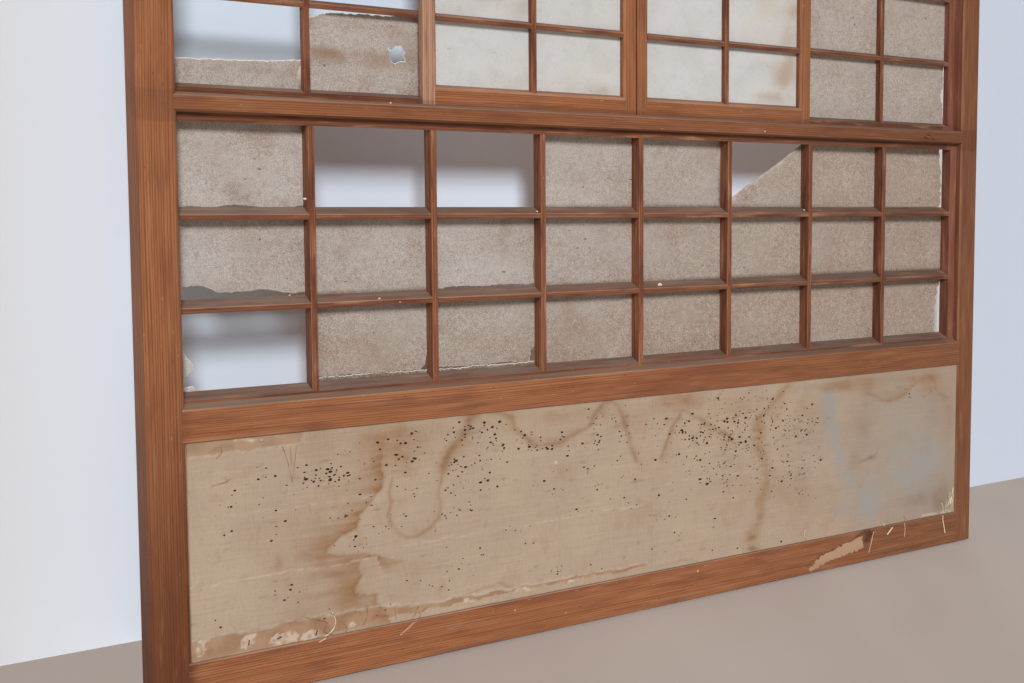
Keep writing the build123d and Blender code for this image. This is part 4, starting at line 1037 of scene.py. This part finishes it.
MOULD_SPOTS = [
    (63, 175), (60, 162), (81, 182), (94, 183), (94, 154), (101, 144), (60, 142), (90, 129), (117, 183),
    (116, 174), (124, 174), (128, 170), (135, 183), (139, 184), (145, 175), (152, 178), (154, 196), (166, 184),
    (175, 169), (167, 150), (162, 158), (151, 141), (137, 141), (156, 119), (158, 122), (157, 113), (173, 128),
    (186, 124), (201, 133), (201, 157), (201, 172), (207, 206), (208, 184), (207, 181), (255, 200), (255, 204),
    (255, 207), (269, 201), (276, 202), (284, 193), (275, 174), (264, 172), (251, 171), (252, 166), (240, 173),
    (229, 161), (278, 162), (269, 147), (276, 155), (269, 154), (244, 155), (239, 153), (236, 128), (244, 134),
    (259, 130), (237, 99), (252, 86), (248, 77), (268, 93), (293, 106), (302, 104), (285, 148), (290, 180),
    (320, 144), (331, 147), (341, 138), (350, 136), (364, 115), (372, 155), (376, 153), (400, 120), (415, 119),
    (414, 141), (427, 136), (434, 150), (429, 110), (387, 136), (386, 131), (377, 211), (385, 201), (385, 195),
    (405, 200), (406, 196), (412, 181), (383, 177), (379, 58), (338, 59), (344, 55), (320, 89), (221, 67),
    (201, 75), (131, 55), (182, 52), (99, 77), (105, 89), (104, 85), (50, 64), (446, 62), (529, 215),
    (523, 208), (524, 206), (553, 204), (555, 206), (584, 201), (592, 202), (605, 196), (610, 188), (512, 193),
    (522, 190), (531, 183), (500, 183), (462, 193), (452, 189), (450, 177), (466, 177), (477, 177), (474, 184),
    (554, 189), (545, 188), (557, 184), (571, 181), (581, 176), (586, 192), (580, 184), (547, 176), (553, 169),
    (561, 163), (536, 163), (540, 163), (548, 159), (498, 164), (500, 162), (502, 171), (505, 174), (507, 176),
    (513, 169), (527, 154), (549, 156), (545, 150), (486, 150), (477, 155), (513, 141), (504, 139), (525, 138),
    (543, 136), (564, 146), (580, 146), (581, 152), (578, 138), (569, 133), (572, 127), (572, 118), (573, 112),
    (535, 121), (515, 122), (510, 120), (529, 126), (530, 109), (454, 116), (456, 94), (466, 93), (520, 82),
    (472, 75), (477, 71), (461, 57), (517, 49), (548, 46), (555, 44), (604, 44), (591, 101), (598, 146),
    (611, 131), (612, 138), (614, 119), (616, 115), (592, 134), (608, 177), (605, 176), (614, 177), (620, 175),
    (638, 174), (651, 174), (644, 171), (608, 165), (615, 164), (629, 163), (634, 162), (593, 159), (622, 157),
    (648, 126), (646, 133), (656, 127), (631, 121), (634, 115), (628, 115), (624, 98), (627, 94), (632, 92),
    (778, 195), (783, 189), (815, 190),
]


WANDER_SEED, GRIME_COUNT = 5, 260
SEAM_LAP = 0.08


def facing_material(look):
    material, net = new_material("stained_facing_look")
    coordinates = net.wire("TexCoord", "Object")
    x, y, z = net.split(coordinates)
    cloud = net.noise(coordinates, 14.0, 4.0)
    patch = net.noise(coordinates, 60.0, 4.0)
    fibre = net.noise(net.join(x * 24.0, y * 24.0, z * 900.0), 1.0, 3.0)
    weave = net.noise(net.join(x * 1100.0, y * 24.0, z * 90.0), 1.0, 2.0)
    grain = net.noise(coordinates, 620.0, 3.0)
    ragged = net.step(patch, 0.32, 0.62, 0.65, 1.15)
    runs = net.noise(net.join(x * 16.0, y * 16.0, z * 190.0), 1.0, 3.0)
    crumbs = net.noise(coordinates, 190.0, 3.0)
    # The facing's mottle and fibres; the layer along X is painted shade that darkens it towards the right.
    tone = net.tinted(
        opaque(look.facing_colour), (cloud, 0.48, 0.70, 0.6, (190, 170, 147)),
        (cloud, 0.47, 0.28, 0.6, (166, 142, 120)), (patch, 0.55, 0.75, 0.28, (156, 128, 102)),
        (fibre, 0.52, 0.76, 0.22, (146, 122, 102)), (fibre, 0.46, 0.26, 0.15, (208, 190, 170)),
        (weave, 0.50, 0.75, 0.13, (206, 188, 168)), (weave, 0.48, 0.25, 0.13, (138, 116, 98)),
        (x, 0.02, 0.40, 0.25, (118, 92, 70)), (grain, 0.60, 0.78, 0.32, (126, 100, 80)))
    for kind, colour, low in (("grey", look.grey_colour, 0.66), ("brown", look.stain_colour, 0.72)):
        tone = net.mix(tone, opaque(colour), net.attribute(kind) * ragged * net.step(runs, 0.30, 0.62, low, 1.12))
    tone = net.mix(tone, opaque(look.tide_colour), net.attribute("tide") * ragged)
    bare = net.mix(shade(171, 135, 105), shade(152, 114, 84), net.step(patch, 0.42, 0.62))
    tone = net.mix(tone, bare, net.attribute("bare") * 0.9)
    tone = net.mix(tone, shade(214, 200, 184), net.attribute("pale") * net.step(crumbs, 0.36, 0.58, 0.15, 1.0))
    tone = net.mix(tone, shade(84, 60, 44), net.attribute("dark") * ragged)

    # Dark joints round the facing, with painted shadow where the facing lies sunk under the belt rail and beside the
    # left stile, so darkest at the top and the left
    joint_and_shadow = net.step(z, 0.2162, 0.2180, 0.0, 0.80) + net.step(x, -0.4108, -0.4126, 0.0, 0.62)
    joint_and_shadow = joint_and_shadow + net.step(z, 0.0400, 0.0386, 0.0, 0.35) + net.step(x, 0.4152, 0.4166, 0.0, 0.35)
    tone = net.mix(tone, shade(84, 60, 44), joint_and_shadow * net.step(patch, 0.30, 0.60, 0.80, 1.1))
    finish_surface(net, tone, 0.8, fibre + grain * 0.4, 0.0002, 0.4, 0.25)
    return material


class SCREEN_OT_lay_facing(bpy.types.Operator):
    """Lays the wainscot's two facing sheets, with their water stains, bloom and torn foot"""
    bl_idname = "screen.lay_facing"
    bl_label = "Lay the wainscot's facing"

    def execute(self, context):
        look = context.scene.screen_wainscot
        material = facing_material(look)
        noise.seed_set(WANDER_SEED)
        for node in ("wainscot_facing_left", "wainscot_facing_right"):
            low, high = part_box(node)
            left, right = low.x / MM - LEFT_EDGE, high.x / MM - LEFT_EDGE
            if node.endswith("left"):
                right += SEAM_LAP
            sheet = StainedSheet(left, right, low.z / MM, high.z / MM, look.cell / MM)
            self.stain(sheet)
            piece = sheet.piece(f"{node}_sheet", low.y / MM - FRONT, (high.y - low.y) / MM, material)
            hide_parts(node)
        return {"FINISHED"}

    def stain(self, sheet):
        for stroke in STAIN_STROKES:
            sheet.stroke(*stroke)
        draw = random.Random(33)
        for _ in range(GRIME_COUNT):
            near_x, near_z = draw.choice(MOULD_SPOTS)
            sheet.blob("dark", near_x + draw.gauss(0, 12), near_z + draw.gauss(0, 8), draw.uniform(1.6, 4.2), 0.9,
                       draw.uniform(0.12, 0.40))
        for kind, blobs in STAIN_BLOBS.items():
            for blob in blobs:
                sheet.blob(kind, *blob)
        for fill in STAIN_FILLS:
            sheet.fill(*fill)


MOULD_DEPTH, MOULD_HEIGHT, SMALL_MOULD_HEIGHT = FACING_DEPTH + 0.12, 0.14, 0.10
LEAST_SIZE_AT_LEFT, LEFT_PART = 1.05, 110
SPOTTED_X, SPOTTED_Z = (32, 850), (44, 214)
MOULD_SIZES = (0.6, 0.7, 0.8, 0.95, 1.1, 1.4)
MOULD_CLUSTERS = [
    (133, 179, 9, 5, 26), (192, 186, 12, 10, 14), (262, 200, 22, 9, 26), (300, 182, 22, 8, 22),
    (345, 178, 30, 9, 22), (235, 160, 28, 10, 12), (402, 190, 18, 12, 18), (520, 178, 20, 10, 34),
    (548, 160, 16, 9, 26), (500, 150, 24, 14, 20), (590, 178, 22, 9, 24), (626, 166, 16, 8, 16),
    (545, 125, 22, 10, 12), (470, 180, 14, 10, 12), (610, 120, 16, 10, 10),
]


def dome(vertices, faces, x, z, depth, size, height, draw):
    """A low, uneven closed dome that lies on the facing."""
    sides = 9
    first = len(vertices)
    turn = draw.uniform(0, math.tau)
    long = draw.uniform(1.0, 1.5)
    for level, share in ((0, 1.0), (1, 0.62)):
        for index in range(sides):
            angle = turn + index * math.tau / sides
            reach = size * share * draw.uniform(0.8, 1.2)
            vertices.append(place(x + math.cos(angle) * reach * long, depth - height * level,
                                  z + math.sin(angle) * reach * 0.9))
    vertices.append(place(x, depth - height * 1.2, z))
    top = first + 2 * sides
    faces.append(tuple(first + index for index in range(sides)))
    for index in range(sides):
        after = (index + 1) % sides
        faces.append((first + index, first + after, first + sides + after, first + sides + index))
        faces.append((first + sides + index, first + sides + after, top))


class SCREEN_OT_scatter_mould(bpy.types.Operator):
    """Scatters the mould spots over the wainscot"""
    bl_idname = "screen.scatter_mould"
    bl_label = "Scatter the mould spots"

    def execute(self, context):
        look = context.scene.screen_wainscot
        material, net = new_material("mould_look")
        coordinates = net.wire("TexCoord", "Object")
        tone = net.tinted(opaque(look.mould_colour), (net.noise(coordinates, 900.0), 0.5, 0.75, 1.0, (92, 70, 54)))
        finish_surface(net, tone, 0.95, specular=0.1)
        draw = random.Random(31)
        vertices, faces = [], []
        for x, z in MOULD_SPOTS:
            size = draw.choice(MOULD_SIZES)
            size = max(size, LEAST_SIZE_AT_LEFT) if x < LEFT_PART else size
            dome(vertices, faces, x, z, MOULD_DEPTH, size, MOULD_HEIGHT, draw)
        for x, z, reach_x, reach_z, count in MOULD_CLUSTERS:
            for _ in range(count):
                dome(vertices, faces, draw.gauss(x, reach_x), draw.gauss(z, reach_z), MOULD_DEPTH,
                     draw.choice(MOULD_SIZES), MOULD_HEIGHT, draw)
        for _ in range(look.mould_count):
            near_x, near_z = draw.choice(MOULD_SPOTS)
            x, z = near_x + draw.gauss(0, 9), near_z + draw.gauss(0, 5)
            if SPOTTED_X[0] < x < SPOTTED_X[1] and SPOTTED_Z[0] < z < SPOTTED_Z[1]:
                dome(vertices, faces, x, z, MOULD_DEPTH, draw.uniform(0.4, 0.85), SMALL_MOULD_HEIGHT, draw)
        mesh_piece("mould_spots", vertices, faces, [material], smooth=True)
        return {"FINISHED"}


def strand(vertices, faces, points, radius, taper=0.6):
    """A thin closed strand, with five sides, along points given as X, depth and Z."""
    sides = 5
    first = len(vertices)
    corners = [Vector(point) for point in points]
    spots = []
    for index in range(len(corners) - 1):
        before, start = corners[max(index - 1, 0)], corners[index]
        end, after = corners[index + 1], corners[min(index + 2, len(corners) - 1)]
        for share in (0.0, 0.25, 0.5, 0.75):
            bend = (2 * start + (end - before) * share + (2 * before - 5 * start + 4 * end - after) * share ** 2
                    + (3 * start - before - 3 * end + after) * share ** 3) / 2
            spots.append(place(*bend))
    spots.append(place(*corners[-1]))
    for index, spot in enumerate(spots):
        ahead = (spots[min(index + 1, len(spots) - 1)] - spots[max(index - 1, 0)]).normalized()
        side = ahead.cross(Vector((0, 1, 0)))
        side = side.normalized() if side.length > 1e-6 else Vector((1, 0, 0))
        up = ahead.cross(side)
        thick = radius * MM * (1 - (1 - taper) * index / (len(spots) - 1))
        for turn in range(sides):
            angle = turn * math.tau / sides
            vertices.append(spot + (side * math.cos(angle) + up * math.sin(angle)) * thick)
    for index in range(len(spots) - 1):
        for turn in range(sides):
            after = (turn + 1) % sides
            low = first + index * sides
            faces.append((low + turn, low + after, low + sides + after, low + sides + turn))
    faces.append(tuple(first + turn for turn in reversed(range(sides))))
    last = first + (len(spots) - 1) * sides
    faces.append(tuple(last + turn for turn in range(sides)))


def flat_look(name, first, second):
    """A dull material that wavers between two colours."""
    material, net = new_material(name)
    coordinates = net.wire("TexCoord", "Object")
    tone = net.tinted(shade(*first), (net.noise(coordinates, 160.0, 3.0), 0.40, 0.62, 1.0, second))
    finish_surface(net, tone, 0.85, net.noise(coordinates, 700.0), 0.0002, 0.4, 0.2)
    return material


PALE_STRAWS = [
    ([(850, 0.9, 49), (851.5, 0.8, 56), (853.5, 0.8, 63), (854.5, 0.9, 69)], 0.75),
    ([(846, 1.0, 47), (849, 0.8, 55), (849.5, 0.8, 64)], 0.45), ([(853, 0.9, 50), (855, 0.7, 60)], 0.5),
    ([(836, 0.9, 53), (838.5, 0.6, 47), (838, 0.5, 39.5)], 0.45),
    ([(844, 1.0, 54), (843, 0.7, 46), (841, 0.5, 39.5)], 0.4),
    ([(640, 0.6, 40), (634, 0.6, 45), (636, 0.7, 52)], 0.35), ([(748, 0.8, 41), (747, 0.6, 39)], 0.5),
    ([(131, 0.6, 39.6), (137.5, 0.6, 44.4), (139.7, 0.8, 51.8), (137, 0.9, 59.4)], 0.42),
]
BROWN_STRAWS = [
    ([(777, 0.9, 46), (780, 0.6, 43), (778.5, 0.5, 39)], 0.3),
    ([(112, 0.9, 61), (121, 0.6, 57), (133, 0.6, 51), (130, 0.5, 44), (140, 0.5, 39)], 0.34),
    ([(136, 0.9, 59), (144, 0.6, 51), (149, 0.5, 43), (146, 0.5, 39)], 0.3),
    ([(211, 0.9, 50), (208, 0.6, 44), (204, 0.5, 39)], 0.32),
    ([(220, 0.9, 49), (214, 0.6, 44), (211, 0.5, 39)], 0.28),
    ([(166, 0.9, 60), (166, 0.7, 50), (163, 0.6, 43)], 0.26), ([(190, 0.9, 52), (191, 0.7, 42)], 0.24),
    ([(100, 1.0, 207), (104, 0.9, 193), (107, 0.9, 176)], 0.26), ([(106, 1.0, 207), (107, 0.9, 190)], 0.22),
    ([(111, 1.0, 206), (109.5, 0.9, 194), (107.3, 0.9, 177)], 0.24),
    ([(50, 1.0, 203), (54, 0.8, 208), (53, 0.8, 214)], 0.24),
    ([(46, 1.0, 181), (56, 0.8, 183), (61, 0.9, 186)], 0.26),
]
REMAINS_COLOURS = {
    "pale_straw": ((236, 224, 204), (206, 182, 152)), "brown_straw": ((176, 140, 110), (130, 94, 70)),
    "rust": ((84, 66, 54), (60, 44, 36)), "chip": ((226, 212, 196), (190, 164, 140)),
}
STAPLE_HALF_LENGTH, STAPLE_RADIUS = 2.0, 0.4
CHIP_BEHIND, CHIP_HEIGHT = 0.1, 0.25
STAPLES = [(71, 47, 80), (94.5, 46, 15), (124, 44, 70)]
CHIPS = [
    (110.8, 328.0, 8.6, 0.9), (184.3, 321.9, 9.0, 1.0), (201.4, 318.8, 7.6, 0.8), (124.1, 408.3, 8.2, 1.1),
    (193.6, 493.1, 3.0, 0.9), (343, 164, 0.9, 1.0), (330, 397, 9.2, 0.8), (462.3, 321.6, 12.0, 2.5),
    (640, 396.4, 12.4, 0.9), (84, 214, 0.9, 1.1),
]


class SCREEN_OT_leave_remains(bpy.types.Operator):
    """Adds the straws, staples and chips"""
    bl_idname = "screen.leave_remains"
    bl_label = "Leave the small remains"

    def execute(self, context):
        pale, brown, rust, chip = (flat_look(f"{kind}_look", *colours) for kind, colours in REMAINS_COLOURS.items())
        for name, straws, look in (("pale_straws", PALE_STRAWS, pale), ("brown_straws", BROWN_STRAWS, brown)):
            vertices, faces = [], []
            for points, radius in straws:
                strand(vertices, faces, points, radius)
            mesh_piece(name, vertices, faces, [look], smooth=True)
        vertices, faces = [], []
        for x, z, angle in STAPLES:
            run = Vector((math.cos(math.radians(angle)), math.sin(math.radians(angle)))) * STAPLE_HALF_LENGTH
            points = [(x - run.x, 0.9, z - run.y), (x, 0.8, z), (x + run.x, 0.9, z + run.y)]
            strand(vertices, faces, points, STAPLE_RADIUS, 1.0)
        mesh_piece("rusty_staples", vertices, faces, [rust])
        vertices, faces = [], []
        draw = random.Random(41)
        for x, z, depth, size in CHIPS:
            dome(vertices, faces, x, z, depth + CHIP_BEHIND, size, CHIP_HEIGHT, draw)
        mesh_piece("pale_chips", vertices, faces, [chip], smooth=True)
        return {"FINISHED"}


class SCREEN_OT_build_studio(bpy.types.Operator):
    """Sets up the floor, the wall, the lights and the camera of the photograph"""
    bl_idname = "screen.build_studio"
    bl_label = "Build the studio"
    REACH, WALL_HEIGHT = 8, 6
    SUN_HEIGHT, SUN_SIDE = math.radians(43.8), math.radians(-19.8)
    PHOTO_WIDTH, SENSOR_WIDTH = 1024, 36
    CENTRE = (512.0, 341.5)
    # The pixel where each axis of the screen vanishes, and its weight for a millimetre along that axis
    VANISHING = (((2481.7, 207.9), 0.55842 / 880.0), ((-377.0, -604.0), 0.00922 / 11.84),
                 ((630.0, 16900.0), -0.03874 / 492.0))
    CORNER_PIXEL, CORNER = (136.88, 88.36), (-439.4, -13.5, 495.7)

    def execute(self, context):
        look = context.scene.screen_studio
        scene = context.scene
        wall_y = (SCREEN_DEPTH + FRONT) * MM + look.wall_gap
        far, high = self.REACH, self.WALL_HEIGHT
        floor = self.sheet("studio_floor", [(-far, -far, 0), (far, -far, 0), (far, far, 0), (-far, far, 0)])
        wall = self.sheet("studio_wall", [(-far, wall_y, 0), (far, wall_y, 0), (far, wall_y, high),
                                          (-far, wall_y, high)])
        floor.data.materials.append(self.floor_material(look))
        wall.data.materials.append(self.wall_material(look))
        self.light_up(scene, look)
        self.set_camera(scene)
        scene.view_settings.view_transform = "Standard"
        return {"FINISHED"}

    def sheet(self, name, corners):
        mesh = bpy.data.meshes.new(name)
        mesh.from_pydata(corners, [], [(0, 1, 2, 3)])
        piece = bpy.data.objects.new(name, mesh)
        bpy.context.scene.collection.objects.link(piece)
        return piece

    def floor_material(self, look):
        material, net = new_material("studio_floor_look")
        cloud = net.noise(net.wire("TexCoord", "Object"), 3.0, 3.0)
        tone = net.tinted(opaque(look.floor_colour), (cloud, 0.4, 0.7, 1.0, (179, 169, 162)))
        finish_surface(net, tone, 0.9, specular=0.2)
        return material

    def wall_material(self, look):
        """Seen from the front only and missed by bounced light, so that the screen's back is seen and lit."""
        material, net = new_material("studio_wall_look")
        x, _, z = net.split(net.wire("TexCoord", "Object"))
        tone = net.tinted(opaque(look.wall_colour), (x, 0.15, 0.60, 1.0, (204, 214, 230)))
        tone = net.mix(shade(214, 216, 222), tone, net.step(x, -0.60, -0.42))
        low_down = net.step(z, 0.95, 0.70)
        behind_screen = net.step(x, -0.46, -0.40) * net.step(x, 0.47, 0.41) * low_down
        tone = net.mix(tone, shade(224, 238, 255), behind_screen)
        # Painted light: a white band just right of the screen, where the screen's shadow falls on the wall.
        painted_light_gap = net.step(x, 0.41, 0.43) * net.step(x, 0.525, 0.495) * low_down
        tone = net.mix(tone, shade(252, 252, 255), painted_light_gap)
        plaster = net.wire("BsdfDiffuse", 0, None, {"Color": tone})
        # Painted light: below the window the wall behind the screen glows, standing in for light that comes through
        # the paper; warm at the left, stronger to the right and weaker low at the left.
        painted_paper_light = net.tinted(shade(55, 24, 0), (x, -0.28, 0.01, 1.0, (99, 85, 79)))
        painted_paper_light = net.mix(painted_paper_light, shade(40, 36, 28), net.step(z, 0.36, 0.33) * net.step(x, -0.28, -0.34))
        painted_glow_colour = net.mix(shade(0, 0, 0), painted_paper_light, behind_screen * net.step(z, 0.50, 0.46))
        painted_glow = net.wire("Emission", 0, None, {"Color": painted_glow_colour})
        plaster = net.wire("AddShader", 0, None, {0: plaster, 1: painted_glow})
        through = net.wire("NewGeometry", "Backfacing")
        for ray in ("Is Shadow Ray", "Is Diffuse Ray"):
            through = through.math("MAXIMUM", net.wire("LightPath", ray))
        surface = net.wire("MixShader", 0, None, {0: through, 1: plaster, 2: net.wire("BsdfTransparent")})
        net.node("OutputMaterial", None, {"Surface": surface})
        return material

    def light_up(self, scene, look):
        lamp = bpy.data.lights.new("key", "SUN")
        lamp.energy = look.key_strength
        lamp.angle = look.key_softness
        key = bpy.data.objects.new("key", lamp)
        scene.collection.objects.link(key)
        height, side = self.SUN_HEIGHT, self.SUN_SIDE
        towards = Vector((math.cos(height) * math.sin(side), -math.cos(height) * math.cos(side),
                          math.sin(height)))
        key.rotation_euler = towards.to_track_quat("Z", "Y").to_euler()
        world = bpy.data.worlds.new("studio")
        scene.world = world
        world.use_nodes = True
        net = Net(world.node_tree)
        light = net.wire("Background", 0, None, {"Color": shade(255, 247, 238), "Strength": look.ambient})
        pale = net.wire("Background", 0, None, {"Color": shade(222, 226, 234), "Strength": 1.0})
        seen = net.wire("LightPath", "Is Camera Ray")
        net.node("OutputWorld", None, {"Surface": net.wire("MixShader", 0, None, {0: seen, 1: light, 2: pale})})

    def set_camera(self, scene):
        """The photograph's camera: three vanishing points, a corner's pixel and the scale along each axis."""
        pixels = Matrix([Vector((*pixel, 1.0)) * weight for pixel, weight in self.VANISHING]).transposed()
        back = pixels.inverted()
        right, down, ahead = (back @ Vector(pixel) for pixel in ((1, 0, 0), (0, 1, 0), (*self.CENTRE, 1.0)))
        lens = ahead.length * (1 / right.length + 1 / down.length) / 2
        spot = Vector(self.CORNER) * MM - (back @ Vector((*self.CORNER_PIXEL, 1.0))) * MM
        right, down, ahead = right.normalized(), down.normalized(), ahead.normalized()
        camera = bpy.data.objects.new("camera", bpy.data.cameras.new("camera"))
        scene.collection.objects.link(camera)
        camera.data.sensor_width = self.SENSOR_WIDTH
        camera.data.lens = lens * self.SENSOR_WIDTH / self.PHOTO_WIDTH
        camera.data.clip_start = 0.05
        holder = bpy.data.objects.new("camera_holder", None)
        scene.collection.objects.link(holder)
        camera.parent = holder
        camera.matrix_parent_inverse = Matrix((
            (*right, 0), (*-down, 0), (*-ahead, 0), (*spot, 1))).transposed()
        scene.camera = camera


class SCREEN_PT_panel(bpy.types.Panel):
    """Lists the steps that dress the screen"""
    bl_label = "Shoji Screen"
    bl_idname = "SCREEN_PT_panel"
    bl_space_type = "VIEW_3D"
    bl_region_type = "UI"
    bl_category = "Screen"

    def draw(self, context):
        for group in (context.scene.screen_wood, context.scene.screen_paper, context.scene.screen_wainscot,
                      context.scene.screen_studio):
            box = self.layout.box()
            for name in group.__annotations__:
                box.prop(group, name)
        for step in STEPS:
            self.layout.operator(step.bl_idname)


GROUPS = {"screen_wood": ScreenWood, "screen_paper": ScreenPaper, "screen_wainscot": ScreenWainscot,
          "screen_studio": ScreenStudio}
STEPS = (SCREEN_OT_build_studio, SCREEN_OT_dress_wood, SCREEN_OT_hang_lattice_paper, SCREEN_OT_hang_small_paper,
         SCREEN_OT_lay_facing, SCREEN_OT_scatter_mould, SCREEN_OT_leave_remains)


def register():
    for group in GROUPS.values():
        bpy.utils.register_class(group)
    for step in STEPS:
        bpy.utils.register_class(step)
    bpy.utils.register_class(SCREEN_PT_panel)
    for name, group in GROUPS.items():
        setattr(bpy.types.Scene, name, PointerProperty(type=group))


def unregister():
    for name in GROUPS:
        delattr(bpy.types.Scene, name)
    bpy.utils.unregister_class(SCREEN_PT_panel)
    for step in reversed(STEPS):
        bpy.utils.unregister_class(step)
    for group in GROUPS.values():
        bpy.utils.unregister_class(group)


def main():
    register()
    bpy.ops.screen.build_studio()
    bpy.ops.screen.dress_wood()
    bpy.ops.screen.hang_lattice_paper()
    bpy.ops.screen.hang_small_paper()
    bpy.ops.screen.lay_facing()
    bpy.ops.screen.scatter_mould()
    bpy.ops.screen.leave_remains()


if __name__ == "__main__":
    main()
